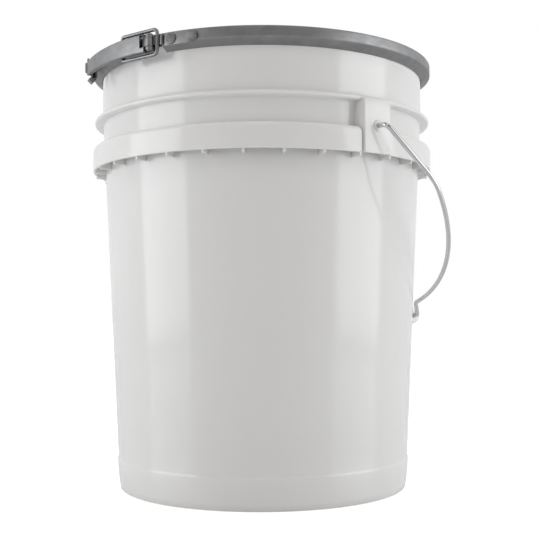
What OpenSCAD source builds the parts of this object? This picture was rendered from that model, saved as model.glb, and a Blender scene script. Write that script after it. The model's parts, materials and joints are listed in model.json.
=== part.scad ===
// Open-head plastic pail with a gasketed lid, a lever-lock clamping ring and a wire bail.
// Millimetres. +Z is up, the origin is on the pail's axis at the plane it stands on.
// The bail swings about the X axis and is drawn hanging against the wall on the +Y side.

/* [Pail] */
// Outside radius that the wall's taper would have at the base plane
wall_base_r = 130; // [124:0.5:132]
// Growth of the outside radius per millimetre of height
wall_draft = 0.0482; // [0.044:0.0002:0.05]
// Height at which the taper ends and the wall becomes straight
taper_top_z = 340; // [334:1:350]
// Wall thickness
wall_t = 2.3; // [1.8:0.1:2.8]
// Height of the slightly proud band at the foot
foot_h = 27.2; // [20:0.2:34]
// How far that band stands proud
foot_proud = 0.8; // [0.4:0.1:1.2]
// Radius of the recess under the base
recess_r = 118; // [100:1:122]
// Depth of the recess under the base
recess_d = 2.6; // [1:0.1:4]
// Thickness of the floor
floor_t = 2.8; // [2:0.1:4]

/* [Skirt and rib] */
// Outside radius of the skirt
skirt_r = 154.8; // [152:0.1:156]
// Lower edge of the skirt
skirt_bottom_z = 283; // [276:1:288]
// Top of the skirt
skirt_top_z = 304; // [300:0.5:304]
// Thickness of the skirt
skirt_t = 2.3; // [1.8:0.1:3]
// Rounding of the skirt's top edge
skirt_round = 3.5; // [1:0.1:4]
// Outside radius of the rib
rib_r = 153.5; // [150:0.1:154]
// Underside of the rib
rib_bottom_z = 325.5; // [322:0.5:328]
// Thickness of the rib
rib_t = 3.4; // [2.5:0.1:4]
// Number of gussets inside the skirt
gusset_count = 30; // [15:15:30]
// Thickness of one gusset
gusset_t = 2; // [1:0.1:2.4]
// How far the gussets reach below the skirt
gusset_drop = 2.7; // [0:0.1:5]

/* [Ears and bail] */
// Height of the bail's axis
bail_axis_z = 305.3; // [304:0.1:308]
// Outer face of the ear plate, from the pail's axis
ear_face_x = 156.5; // [156:0.1:158]
// Width of the ear plate
ear_w = 28; // [24:0.5:30]
// Thickness of the ear plate and its side walls
ear_t = 2.4; // [2:0.1:3]
// Diameter of the bail wire
bail_d = 4; // [3.6:0.1:4.4]
// Running clearance of the wire in the ears and the grip, on the radius
bail_clear = 0.08; // [0.02:0.01:0.1]
// Angle of the hanging bail, from straight down
bail_rest = 43.6; // [43.6:0.1:60]
// Radius of the bail's large arc
bail_arc_r = 182; // [180:0.5:186]
// Distance of the straight run in the grip from the bail's axis
bail_reach = 211; // [210:0.5:216]
// Outside diameter of the grip
grip_d = 15.5; // [12:0.1:15.6]
// Length of the grip
grip_len = 104; // [80:1:104]

/* [Rim, lid and lock ring] */
// Outside radius of the lock ring
ring_r = 155; // [155:0.1:156]
// Sheet thickness of the lock ring
ring_t = 0.9; // [0.7:0.05:1]
// Top of the lock ring
ring_top_z = 378.6; // [378:0.1:379]
// Height of the crease between the ring's wall and its sloping lower leg
ring_crease_z = 370; // [369.8:0.1:370.4]
// Direction of the ring's hook end, in degrees round the pail
ring_hook_end = -67.7; // [-68:0.1:-67.4]
// Opening between the ring's two ends, in degrees
ring_gap = 4.2; // [2:0.1:4.6]
// Outside radius of the pail's rim bead
bead_r = 152.2; // [151.5:0.1:152.4]
// Top of the pail's rim bead
bead_top_z = 373.2; // [372.5:0.1:373.2]
// Depth of the lid's panel below the top of its flange
lid_depth = 23.5; // [18:0.5:30]
// Bore of the airlock grommet, diameter
airlock_d = 9.5; // [8:0.1:10]

/* [Latch] */
// Direction of the lever's pivot, in degrees round the pail
pivot_a = -70.3; // [-70.6:0.1:-70.2]
// Distance of the lever's pivot from the pail's axis
pivot_r = 160.5; // [160.3:0.1:161]
// Direction of the link's pivot on the lever
link_a = -82.2; // [-84:0.1:-81]
// Distance of the link's pivot from the pail's axis
link_r = 158.9; // [158.8:0.1:159.2]
// Direction of the link's bar in its hook
bar_a = -68; // [-68.1:0.1:-67.9]
// Distance of the link's bar from the pail's axis
bar_r = 158.4; // [158.4:0.1:158.8]
// Diameter of the link's wire
link_d = 3; // [2.8:0.1:3]
// Outer face of the lever
lever_r = 163.5; // [163.3:0.1:164]
// Direction of the lever's free end
lever_end_a = -106; // [-107:0.5:-100]
// Lower edge of the lever
lever_bottom_z = 363.1; // [363:0.1:363.3]
// Upper edge of the lever
lever_top_z = 377.6; // [377.4:0.1:378]
// Direction of the seal hasp
hasp_a = -105.8; // [-106.5:0.1:-104]

/* [Hidden] */
$fn = 96;

white_plastic = "#e9e9ea";
lid_white = "#f1f1ef";
rubber_black = "#2a2a2a";
galvanised = "#8d9092";
wire_steel = "#b9bcc0";

// small distance by which a cutter passes the face it opens
over = 1;
// running gap between two pieces that touch without being joined
gap = 0.05;
// how far two pieces of one solid run into each other
lap = 0.5;

// pail
foot_edge_r = 128.4;
foot_chamfer = [0.9, 0.5];
foot_heel_z = 5.6;
foot_swell_z = [14, 23];
foot_swell = 0.75;
bead_round = 1.5;
bead_chamfer = 0.4;
gusset_inset = 0.7;
corner_in_r = 9;
bead_foot_z = 365.9;
bead_lip_z = 369.8;
mouth_chamfer = 1;
gusset_first_a = 180 / gusset_count;
groove_w = 1.2;
ear_top_z = 327;
ear_boss_r = 4.6;
ear_boss_t = 0.8;

// bail, in its own plane: x along the ear axis, y away from it
wire_r = bail_d / 2;
wire_step = 0.015;
wire_lap = 0.25;
bail_head_r = 3.2;
bail_head_x = 151;
bail_head_t = 1.5;
elbow_x = 162;
elbow_r = 5;
leg_lean = atan(0.2);
arc_c_y = 24;
blend_r = 40;
kink_x = 68;
kink_a = 62;
kink_r1 = 7;
kink_r2 = 5;

// rim stack
leg_in_r = 147;
leg_in_z = 365;
ring_leg_w = 9;
ring_round = 1.2;
leg_in_rise = 0.85;
lid_flange_r = 153.8;
lid_skirt_in_r = 152.5;
lid_skirt_z = 371;
lid_top_z = ring_top_z - ring_t - 0.2;
lid_flange_t = 2.2;
plug_r = 143.5;
plug_t = 2;
panel_t = 2.2;
plateau_r = 109;
plateau_rise = 3.5;
lid_round = 1.2;
plateau_bend = 0.6;
plug_round = 2;
lid_rib_count = 24;
lid_rib_t = 1.6;
lid_rib_h = 13;
lid_rib_l = 12;
lid_rib_toe = 1.5;
gasket_gap = 0.1;
gasket_inset = [1.2, 1];
gasket_chamfer = 0.6;
airlock_y = 72;
airlock_hole_r = 6.35;
grommet_flange_r = 9.6;
grommet_flange_t = 2.4;
grommet_chamfer = 1;
grommet_fit = 0.1;

// latch
strap_t = 1.2;
strap_r = ring_r + gap;
strap_out_r = strap_r + strap_t;
strap_half_h = 5.2;
rivet_z = 372.6;
strap_bottom_z = rivet_z - strap_half_h;
strap_top_z = rivet_z + strap_half_h;
rivet_shank_r = 1.5;
rivet_fit = 0.05;
rivet_head_r = 4.8;
rivet_head_t = 1.4;
rivet_dish_r = 3.5;
rivet_dish_d = 0.9;
rivet_edge = 0.6;
rivet_seat = 0.02;
barrel_r = 3;
web_back = 1;
pin_r = 1.4;
pin_fit = 0.05;
pin_press = 0.02;
pin_head_r = 2.2;
pin_head_t = 0.7;
knuckle_z = [364.6, 367.5, 374.5, 377.4];
knuckle_gap = 0.25;
sheet_t = 1.5;
lug_wall = 1.5;
lug_half_w = 3.2;
lever_flange_r = lever_r - 3.4;
lever_edge = 0.5;
lever_root = 0.8;
face_inset = 0.1;
tongue_t = 0.6;
slot_from_pivot = 6.1;
slot_w = 4;
slot_margin = [3.7, 0.8];
curl_r = 1.7;
curl_in = 0.3;
curl_z = [2.9, 11.4];
nub_h = 0.5;
nub_a = [0.5, 1.2];
rail_top_z = 381.3;
rail_bottom_z = 361.2;
rail_bend = 4;
link_fit = 0.08;
link_end_past = 0.6;
link_hook_in_r = 0.5;
hinge_strap_end_a = -78.6;
hook_rivets_a = [-63.95, -57.28];
hinge_rivets_a = [-73.8, -77.2];
lip_gap = 0.4;
lip_t = 1.2;
lip_top_r = 159.6;
ridge_r = 1.3;
ridge_c_r = strap_out_r + 1;
cradle_z0 = strap_bottom_z + 1;
cradle_z1 = strap_top_z - 1;
end_round_more = 0.4;
root_step = 0.3;
hasp_w = 8;
hasp_eye_d = 7;
hasp_strap_z = 361.6;
eye_top_z = rivet_z - 6;
eye_out_r = 159.4;
eye_neck = [eye_out_r + 0.2, lever_bottom_z - 0.8];
eye_nose = [162.6, 359.8];
eye_tip = [158.9, 356.4];
eye_heel = [156, 359.4];
eye_foot_z = 360.6;
eye_slot = [2.4, 4.7, 5];
eye_slot_r = strap_out_r + 0.3;
eye_slot_z = 361.2;

// outside radius of the wall at a height
function wall_r(z) = wall_base_r + wall_draft * min(z, taper_top_z);
// points on an arc, from angle a0 to a1
function arc(cx, cy, r, a0, a1, n = 8) =
    [for (i = [0 : n]) let (a = a0 + (a1 - a0) * i / n) [cx + r * cos(a), cy + r * sin(a)]];
// degrees that a length takes up along a circle
function deg_of(len, r) = len / r * 180 / PI;
// a point at a direction and distance from the pail's axis
function at(a, r) = [r * cos(a), r * sin(a)];

// ring-shaped segment between two directions, from a profile of [radius, height] points
module segment(a0, a1, profile) {
    rotate([0, 0, a0])
        rotate_extrude(angle = a1 - a0, $fn = 180)
            polygon(profile);
}

// rectangular profile for a segment
function box_profile(r0, r1, z0, z1) = [[r0, z0], [r1, z0], [r1, z1], [r0, z1]];

// cylinder lying along a radius of the pail
module radial_cylinder(a, z, r0, r1, r) {
    rotate([0, 0, a])
        translate([r0, 0, z])
            rotate([0, 90, 0])
                cylinder(r = r, h = r1 - r0, $fn = 48);
}

// ---- pail ----

function foot_points() = [
    [recess_r - recess_d, recess_d], [recess_r, 0], [foot_edge_r, 0],
    [foot_edge_r + foot_chamfer[0], foot_chamfer[1]], [wall_r(foot_heel_z), foot_heel_z],
    [wall_r(foot_swell_z[0]) + foot_proud * foot_swell, foot_swell_z[0]],
    [wall_r(foot_swell_z[1]) + foot_proud, foot_swell_z[1]],
    [wall_r(foot_h) + foot_proud, foot_h - foot_proud], [wall_r(foot_h), foot_h]];

function skirt_points() = concat(
    [[wall_r(skirt_top_z), skirt_top_z - skirt_t],
     [skirt_r - skirt_t, skirt_top_z - skirt_t],
     [skirt_r - skirt_t, skirt_bottom_z],
     [skirt_r, skirt_bottom_z]],
    arc(skirt_r - skirt_round, skirt_top_z - skirt_round, skirt_round, 0, 90),
    [[wall_r(skirt_top_z), skirt_top_z]]);

function rib_points() = concat(
    [[wall_r(rib_bottom_z), rib_bottom_z]],
    arc(rib_r - rib_t / 2, rib_bottom_z + rib_t / 2, rib_t / 2, -90, 90, 10),
    [[wall_r(rib_bottom_z + rib_t), rib_bottom_z + rib_t]]);

function bead_points() = concat(
    [[wall_r(taper_top_z), taper_top_z], [wall_r(taper_top_z), bead_foot_z],
     [bead_r - bead_chamfer, bead_lip_z], [bead_r, bead_lip_z + bead_chamfer]],
    arc(bead_r - bead_round, bead_top_z - bead_round, bead_round, 0, 90));

// everything inside the outline, with the cavity still filled
module pail_outline() {
    rotate_extrude($fn = 180)
        polygon(concat([[0, recess_d]], foot_points(), skirt_points(), rib_points(),
                       bead_points(), [[0, bead_top_z]]));
}

module pail_cavity() {
    floor_z = recess_d + floor_t;
    rotate_extrude($fn = 180)
        polygon(concat(
            [[0, floor_z]],
            arc(wall_r(floor_z) - wall_t - corner_in_r, floor_z + corner_in_r, corner_in_r, -90, 0),
            [[wall_r(taper_top_z) - wall_t, taper_top_z],
             [wall_r(taper_top_z) - wall_t, bead_top_z - mouth_chamfer],
             [wall_r(taper_top_z) - wall_t + mouth_chamfer + over, bead_top_z + over],
             [0, bead_top_z + over]]));
}

// the wall as a plain cone, to keep cutters out of it
module wall_cone(z0, z1) {
    translate([0, 0, z0])
        cylinder(r1 = wall_r(z0), r2 = wall_r(z1), h = z1 - z0, $fn = 180);
}

// opening in the skirt where an ear stands, with rounded upper corners
module ear_cut() {
    half = ear_w / 2 + groove_w;
    difference() {
        union() {
            translate([wall_base_r, -half, skirt_bottom_z - over])
                cube([skirt_r, 2 * half, skirt_top_z - skirt_bottom_z + 2 * over]);
            for (side = [-1, 1])
                translate([wall_base_r, side * half, skirt_top_z - skirt_round])
                    skirt_corner(side);
        }
        wall_cone(skirt_bottom_z - 3 * over, skirt_top_z + 3 * over);
    }
}

module skirt_corner(side) {
    difference() {
        translate([0, side > 0 ? 0 : -skirt_round, 0])
            cube([skirt_r, skirt_round, skirt_round + over]);
        translate([-over, side * skirt_round, 0])
            rotate([0, 90, 0])
                cylinder(r = skirt_round, h = skirt_r + 2 * over, $fn = 48);
    }
}

module gussets() {
    for (k = [0 : gusset_count - 1])
        rotate([0, 0, gusset_first_a + k * 360 / gusset_count])
            translate([wall_r(skirt_bottom_z) - wall_t / 2, -gusset_t / 2, skirt_bottom_z - gusset_drop])
                cube([skirt_r - gusset_inset - wall_r(skirt_bottom_z) + wall_t / 2, gusset_t,
                      skirt_top_z - skirt_t / 2 - skirt_bottom_z + gusset_drop]);
}

// box that carries the bail: a flat plate, two side walls and a top, open underneath
module ear() {
    root_x = wall_r(skirt_bottom_z) - wall_t;
    translate([ear_face_x - ear_t, -ear_w / 2, skirt_bottom_z])
        cube([ear_t, ear_w, ear_top_z - skirt_bottom_z]);
    for (side = [-1, 1])
        translate([root_x, side * (ear_w - ear_t) / 2 - ear_t / 2, skirt_bottom_z])
            cube([ear_face_x - root_x - ear_t / 2, ear_t, ear_top_z - skirt_bottom_z - ear_t / 4]);
    translate([root_x, -ear_w / 2, rib_bottom_z])
        cube([ear_face_x - root_x, ear_w, ear_top_z - rib_bottom_z]);
    radial_cylinder(0, bail_axis_z, ear_face_x - ear_t / 2, ear_face_x + ear_boss_t, ear_boss_r);
}

module pail_body() {
    color(white_plastic)
        difference() {
            union() {
                difference() {
                    pail_outline();
                    ear_cut();
                    rotate([0, 0, 180]) ear_cut();
                }
                gussets();
                ear();
                rotate([0, 0, 180]) ear();
            }
            pail_cavity();
            for (side = [0, 180])
                radial_cylinder(side, bail_axis_z, ear_face_x - ear_t - over,
                                ear_face_x + ear_boss_t + over, wire_r + bail_clear);
        }
}

// ---- bail ----

// arc of round wire in the local XY plane
module wire_arc(c, r, a0, a1, wire, lap = 0) {
    more = deg_of(lap, r);
    translate([c[0], c[1], 0])
        rotate([0, 0, min(a0, a1) - more])
            rotate_extrude(angle = abs(a1 - a0) + 2 * more, $fn = 120)
                translate([r, 0]) circle(r = wire, $fn = 40);
}

// straight stretch of round wire in the local XY plane, a hair thinner than the bends it runs into
module wire_line(p, q, wire, lap = wire_lap) {
    d = q - p;
    translate([p[0], p[1], 0])
        rotate([0, 0, atan2(d[1], d[0])])
            translate([-lap, 0, 0])
                rotate([0, 90, 0])
                    cylinder(r = wire - wire_step, h = norm(d) + 2 * lap, $fn = 40);
}

// leg: starts at the elbow's end and leans outwards
elbow_c = [elbow_x, elbow_r];
leg_dir = [sin(leg_lean), cos(leg_lean)];
leg_in = [-cos(leg_lean), sin(leg_lean)];
leg_p = elbow_c - elbow_r * leg_in;
// blend arc, tangent to the leg and inside the large arc
arc_c = [0, arc_c_y];
blend_q = leg_p + blend_r * leg_in - arc_c;
blend_s = blend_q * leg_dir;
leg_len = -blend_s + sqrt(pow(blend_s, 2) - blend_q * blend_q + pow(bail_arc_r - blend_r, 2));
leg_q = leg_p + leg_len * leg_dir;
blend_c = leg_q + blend_r * leg_in;
blend_a = atan2(blend_c[1] - arc_c[1], blend_c[0] - arc_c[0]);
// kink that keeps the grip in place: out of the large arc, straight, then into the grip
kink_a0 = asin(kink_x / bail_arc_r);
kink_p = arc_c + bail_arc_r * [sin(kink_a0), cos(kink_a0)];
kink_c1 = kink_p + kink_r1 * [sin(kink_a0), cos(kink_a0)];
kink_q = kink_c1 - kink_r1 * [sin(kink_a), cos(kink_a)];
kink_len = (bail_reach - kink_r2 * (1 - cos(kink_a)) - kink_q[1]) / sin(kink_a);
kink_s = kink_q + kink_len * [-cos(kink_a), sin(kink_a)];
kink_c2 = kink_s - kink_r2 * [sin(kink_a), cos(kink_a)];

module bail_half() {
    wire_line([bail_head_x, 0], [elbow_x, 0], wire_r);
    translate([bail_head_x, 0, 0])
        rotate([0, 90, 0])
            cylinder(r = bail_head_r, h = bail_head_t, $fn = 40);
    wire_arc(elbow_c, elbow_r, -90, -leg_lean, wire_r);
    wire_line(leg_p, leg_q, wire_r);
    wire_arc(blend_c, blend_r, -leg_lean, blend_a, wire_r);
    wire_arc(arc_c, bail_arc_r, blend_a, 90 - kink_a0, wire_r - wire_step, wire_lap);
    wire_arc(kink_c1, kink_r1, -90 - kink_a0, -90 - kink_a, wire_r);
    wire_line(kink_q, kink_s, wire_r);
    wire_arc(kink_c2, kink_r2, 90 - kink_a, 90, wire_r);
}

// turns the bail's own plane into its hanging place
module hang() {
    translate([0, 0, bail_axis_z])
        rotate([bail_rest - 90, 0, 0])
            children();
}

module bail_wire() {
    color(wire_steel)
        hang() {
            bail_half();
            mirror([1, 0, 0]) bail_half();
            wire_line([-kink_c2[0], bail_reach], [kink_c2[0], bail_reach], wire_r);
        }
}

module bail_grip() {
    half = grip_len / 2;
    r = grip_d / 2;
    end_round = 2;
    color(white_plastic)
        hang()
            translate([0, bail_reach, 0])
                rotate([0, 90, 0])
                    rotate_extrude($fn = 72)
                        polygon(concat(
                            [[wire_r + bail_clear, -half]],
                            arc(r - end_round, -half + end_round, end_round, -90, 0),
                            arc(r - end_round, half - end_round, end_round, 0, 90),
                            [[wire_r + bail_clear, half]]));
}

// ---- lid ----

panel_z = lid_top_z - lid_depth;

module lid_shell() {
    rotate_extrude($fn = 180)
        polygon(concat(
            [[0, panel_z + plateau_rise - panel_t],
             [plateau_r + plateau_bend, panel_z + plateau_rise - panel_t],
             [plateau_r + plateau_rise + plateau_bend, panel_z - panel_t]],
            arc(plug_r - plug_round, panel_z - panel_t + plug_round, plug_round, -90, 0),
            [[plug_r, lid_top_z - lid_flange_t], [lid_skirt_in_r, lid_top_z - lid_flange_t],
             [lid_skirt_in_r, lid_skirt_z], [lid_flange_r, lid_skirt_z]],
            arc(lid_flange_r - lid_round, lid_top_z - lid_round, lid_round, 0, 90),
            arc(plug_r - plug_t + lid_round, lid_top_z - lid_round, lid_round, 90, 180),
            arc(plug_r - plug_t - plug_round, panel_z + plug_round, plug_round, 0, -90),
            [[plateau_r + plateau_rise, panel_z], [plateau_r, panel_z + plateau_rise],
             [0, panel_z + plateau_rise]]));
}

// triangular ribs in the channel between the plateau and the plug wall
module lid_ribs() {
    root = plug_r - plug_t + lap;
    toe = root - lid_rib_l;
    for (k = [0 : lid_rib_count - 1])
        rotate([0, 0, (k + 0.5) * 360 / lid_rib_count])
            translate([0, lid_rib_t / 2, 0])
                rotate([90, 0, 0])
                    linear_extrude(height = lid_rib_t)
                        polygon([[root, panel_z - lap], [root, panel_z + lid_rib_h],
                                 [toe, panel_z + lid_rib_toe], [toe, panel_z - lap]]);
}

module lid() {
    color(lid_white)
        difference() {
            union() {
                lid_shell();
                lid_ribs();
            }
            translate([0, airlock_y, panel_z - over])
                cylinder(r = airlock_hole_r, h = plateau_rise + 2 * over, $fn = 48);
        }
}

module lid_gasket() {
    in_r = plug_r + gasket_inset[0];
    out_r = lid_skirt_in_r - gasket_inset[1];
    bottom = bead_top_z + gasket_gap;
    top = lid_top_z - lid_flange_t - gasket_gap / 2;
    color(rubber_black)
        rotate_extrude($fn = 180)
            polygon([[in_r + gasket_chamfer, bottom], [out_r - gasket_chamfer, bottom],
                     [out_r, bottom + gasket_chamfer], [out_r, top], [in_r, top],
                     [in_r, bottom + gasket_chamfer]]);
}

module airlock_grommet() {
    seat = panel_z + plateau_rise;
    under = seat - panel_t;
    neck = airlock_hole_r - grommet_fit;
    bore = airlock_d / 2;
    rim = grommet_flange_r;
    edge = grommet_flange_r - grommet_chamfer;
    color(rubber_black)
        translate([0, airlock_y, 0])
            rotate_extrude($fn = 72)
                polygon([[bore, under - grommet_flange_t], [edge, under - grommet_flange_t],
                         [rim, under - grommet_chamfer], [rim, under - gap],
                         [neck, under - gap], [neck, seat + gap],
                         [rim, seat + gap], [rim, seat + grommet_chamfer],
                         [edge, seat + grommet_flange_t], [bore, seat + grommet_flange_t]]);
}

// ---- lock ring ----

function ring_profile() = concat(
    [[leg_in_r, leg_in_z], [ring_r, ring_crease_z]],
    arc(ring_r - ring_round, ring_top_z - ring_round, ring_round, 0, 90),
    [[ring_r - ring_leg_w, ring_top_z], [ring_r - ring_leg_w, ring_top_z - ring_t],
     [ring_r - ring_t, ring_top_z - ring_t], [ring_r - ring_t, ring_crease_z + ring_t / 2],
     [leg_in_r - ring_t / 2, leg_in_z + ring_t * leg_in_rise]]);

module lock_ring_band() {
    color(galvanised)
        difference() {
            segment(ring_hook_end, ring_hook_end + 360 - ring_gap, ring_profile());
            for (a = concat(hook_rivets_a, hinge_rivets_a, [hasp_a]))
                radial_cylinder(a, rivet_z, ring_r - ring_t - over, ring_r + over,
                                rivet_shank_r + rivet_fit);
        }
}

// rivet with a broad dished head, its foot flush with the inside of the ring
module rivet(a) {
    flat_r = rivet_dish_r - rivet_dish_d;
    radial_cylinder(a, rivet_z, ring_r - ring_t + gap, strap_out_r + rivet_head_t / 4, rivet_shank_r);
    rotate([0, 0, a])
        translate([strap_out_r + rivet_seat, 0, rivet_z])
            rotate([0, 90, 0])
                rotate_extrude($fn = 48)
                    polygon([[0, 0], [rivet_head_r, 0], [rivet_head_r, rivet_head_t / 3],
                             [rivet_head_r - rivet_edge, rivet_head_t], [rivet_dish_r, rivet_head_t],
                             [flat_r, rivet_head_t - rivet_dish_d], [0, rivet_head_t - rivet_dish_d]]);
}

module right_bracket_rivets() {
    color(galvanised)
        for (a = hook_rivets_a)
            rivet(a);
}

module left_bracket_rivets() {
    color(galvanised)
        for (a = hinge_rivets_a)
            rivet(a);
}

module seal_hasp_rivet() {
    color(galvanised)
        rivet(hasp_a);
}

// cutter that leaves a strap's end round about its last rivet
module round_end_cut(a) {
    end_r = strap_half_h + end_round_more;
    width = deg_of(end_r, strap_r);
    difference() {
        segment(a + width / 4, a + 2 * width,
                box_profile(strap_r - over, strap_out_r + over, strap_bottom_z - over, strap_top_z + over));
        radial_cylinder(a, rivet_z, strap_r - 2 * over, strap_out_r + 2 * over, end_r);
    }
}

// strap riveted to the ring, with a cradle for the link's bar: a lip on one side, a ridge on the other
module right_hook_bracket() {
    lip_a = bar_a - deg_of(link_d / 2 + lip_gap, bar_r);
    lip_end_a = lip_a - deg_of(lip_t, bar_r);
    ridge_a = bar_a + deg_of(link_d / 2 + lip_gap + ridge_r, bar_r);
    end_a = hook_rivets_a[1];
    color(galvanised)
        difference() {
            union() {
                segment(lip_end_a, end_a + deg_of(strap_half_h, strap_r),
                        box_profile(strap_r, strap_out_r, strap_bottom_z, strap_top_z));
                segment(lip_end_a, lip_a,
                        box_profile(strap_r + root_step, lip_top_r, cradle_z0, cradle_z1));
                rotate([0, 0, ridge_a])
                    translate([ridge_c_r, 0, cradle_z0])
                        cylinder(r = ridge_r, h = cradle_z1 - cradle_z0, $fn = 40);
            }
            round_end_cut(end_a);
            for (a = hook_rivets_a)
                radial_cylinder(a, rivet_z, ring_r - over, strap_out_r + over,
                                rivet_shank_r + rivet_fit);
        }
}

module pivot_hole(fit) {
    p = at(pivot_a, pivot_r);
    translate([p[0], p[1], knuckle_z[0] - 2 * over])
        cylinder(r = pin_r + fit, h = knuckle_z[3] - knuckle_z[0] + 4 * over, $fn = 32);
}

// knuckle of the lever's hinge with its web, between two heights
module bracket_knuckle(z0, z1) {
    p = at(pivot_a, pivot_r);
    translate([p[0], p[1], z0])
        cylinder(r = barrel_r, h = z1 - z0, $fn = 48);
    rotate([0, 0, pivot_a])
        translate([strap_r, -barrel_r, z0])
            cube([pivot_r - strap_r, 2 * barrel_r - web_back, z1 - z0]);
}

// strap riveted to the ring's other end, with two knuckles for the lever's pin
module left_hinge_bracket() {
    start_a = pivot_a + deg_of(barrel_r - web_back, strap_r);
    color(galvanised)
        difference() {
            union() {
                segment(hinge_strap_end_a, start_a,
                        box_profile(strap_r, strap_out_r, knuckle_z[0], knuckle_z[3]));
                bracket_knuckle(knuckle_z[0], knuckle_z[1] - knuckle_gap / 2);
                bracket_knuckle(knuckle_z[2] + knuckle_gap / 2, knuckle_z[3]);
            }
            translate([0, 0, knuckle_z[0] - over])
                cylinder(r = strap_r, h = knuckle_z[3] - knuckle_z[0] + 2 * over, $fn = 180);
            pivot_hole(pin_press);
            for (a = hinge_rivets_a)
                radial_cylinder(a, rivet_z, ring_r - over, strap_out_r + over,
                                rivet_shank_r + rivet_fit);
        }
}

module lever_pin() {
    p = at(pivot_a, pivot_r);
    color(galvanised)
        translate([p[0], p[1], 0]) {
            translate([0, 0, knuckle_z[0] - pin_head_t])
                cylinder(r = pin_r, h = knuckle_z[3] - knuckle_z[0] + 2 * pin_head_t, $fn = 32);
            translate([0, 0, knuckle_z[3] + gap])
                cylinder(r = pin_head_r, h = pin_head_t, $fn = 32);
            translate([0, 0, knuckle_z[0] - pin_head_t - gap])
                cylinder(r = pin_head_r, h = pin_head_t, $fn = 32);
        }
}

// lug folded in from the lever's edge, with the hole for one end of the link
module link_lug(z0) {
    p = at(link_a, link_r);
    half = deg_of(lug_half_w, lever_r);
    translate([p[0], p[1], z0 + gap])
        cylinder(r = link_d / 2 + lug_wall, h = sheet_t - 2 * gap, $fn = 40);
    segment(link_a - half, link_a + half,
            box_profile(link_r, lever_r - sheet_t / 2, z0 + gap, z0 + sheet_t - gap));
}

// shallow channel section: a strap with a stiffening flange along each edge
function lever_profile() = let (in_r = lever_r - sheet_t, z0 = lever_bottom_z, z1 = lever_top_z) [
    [lever_flange_r, z0], [lever_r - lever_edge, z0], [lever_r, z0 + lever_edge],
    [lever_r, z1 - lever_edge], [lever_r - lever_edge, z1], [lever_flange_r, z1],
    [lever_flange_r, z1 - sheet_t],
    [in_r, z1 - sheet_t], [in_r, z0 + sheet_t], [lever_flange_r, z0 + sheet_t]];

module lever() {
    in_r = lever_r - sheet_t;
    root_a = pivot_a - deg_of(barrel_r + lever_root, lever_r);
    slot_a = pivot_a - deg_of(slot_from_pivot, lever_r);
    slot_half = deg_of(slot_w / 2, lever_r);
    eye_z0 = knuckle_z[1] + knuckle_gap / 2;
    eye_z1 = knuckle_z[2] - knuckle_gap / 2;
    p = at(pivot_a, pivot_r);
    q = at(link_a, link_r);
    tip = at(lever_end_a, lever_r - curl_in);
    color(galvanised)
        difference() {
            union() {
                segment(lever_end_a, root_a, lever_profile());
                // tongue and rolled eye on the pin
                segment(root_a - lap, pivot_a,
                        box_profile(in_r + face_inset, in_r + face_inset + tongue_t, eye_z0, eye_z1));
                translate([p[0], p[1], eye_z0])
                    cylinder(r = barrel_r, h = eye_z1 - eye_z0, $fn = 48);
                link_lug(lever_bottom_z);
                link_lug(lever_top_z - sheet_t);
                // curled finger end and the small nub above it
                translate([tip[0], tip[1], lever_bottom_z + curl_z[0]])
                    cylinder(r = curl_r, h = curl_z[1] - curl_z[0], $fn = 40);
                segment(lever_end_a + nub_a[0], lever_end_a + nub_a[1],
                        box_profile(in_r + face_inset, lever_r - face_inset,
                                    lever_top_z - over, lever_top_z + nub_h));
            }
            // window beside the hinge
            segment(slot_a - slot_half, slot_a + slot_half,
                    box_profile(in_r - over / 4, lever_r + over,
                                lever_bottom_z + slot_margin[0], lever_top_z - slot_margin[1]));
            pivot_hole(pin_fit);
            translate([q[0], q[1], lever_bottom_z - over])
                cylinder(r = link_d / 2 + link_fit, h = lever_top_z - lever_bottom_z + 2 * over, $fn = 40);
        }
}

// wire loop round the lever: two rails, the bar in the hook, and two ends turned into the lever's lugs
module link_loop() {
    q = at(link_a, link_r);
    bar = at(bar_a, bar_r);
    span = norm(bar - q);
    w = link_d / 2;
    hook = w + link_hook_in_r;
    z0 = rail_bottom_z;
    z1 = rail_top_z;
    end_in = lever_bottom_z + sheet_t + link_end_past;
    end_top = lever_top_z - sheet_t - link_end_past;
    color(galvanised)
        translate([q[0], q[1], 0])
            rotate([0, 0, atan2(bar[1] - q[1], bar[0] - q[0])])
                rotate([90, 0, 0]) {
                    wire_line([0, end_in], [0, z0 + hook], w);
                    wire_arc([hook, z0 + hook], hook, 180, 270, w);
                    wire_line([hook, z0], [span - rail_bend, z0], w);
                    wire_arc([span - rail_bend, z0 + rail_bend], rail_bend, 270, 360, w);
                    wire_line([span, z0 + rail_bend], [span, z1 - rail_bend], w);
                    wire_arc([span - rail_bend, z1 - rail_bend], rail_bend, 0, 90, w);
                    wire_line([span - rail_bend, z1], [hook, z1], w);
                    wire_arc([hook, z1 - hook], hook, 90, 180, w);
                    wire_line([0, z1 - hook], [0, end_top], w);
                }
}

// outline of the hasp's eye, as [radius, height] points: it hangs out below the lever's end
function eye_points() = [
    [strap_r + root_step, eye_top_z], [eye_out_r, eye_top_z], eye_neck, eye_nose, eye_tip, eye_heel,
    [strap_r + root_step, eye_foot_z]];

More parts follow.
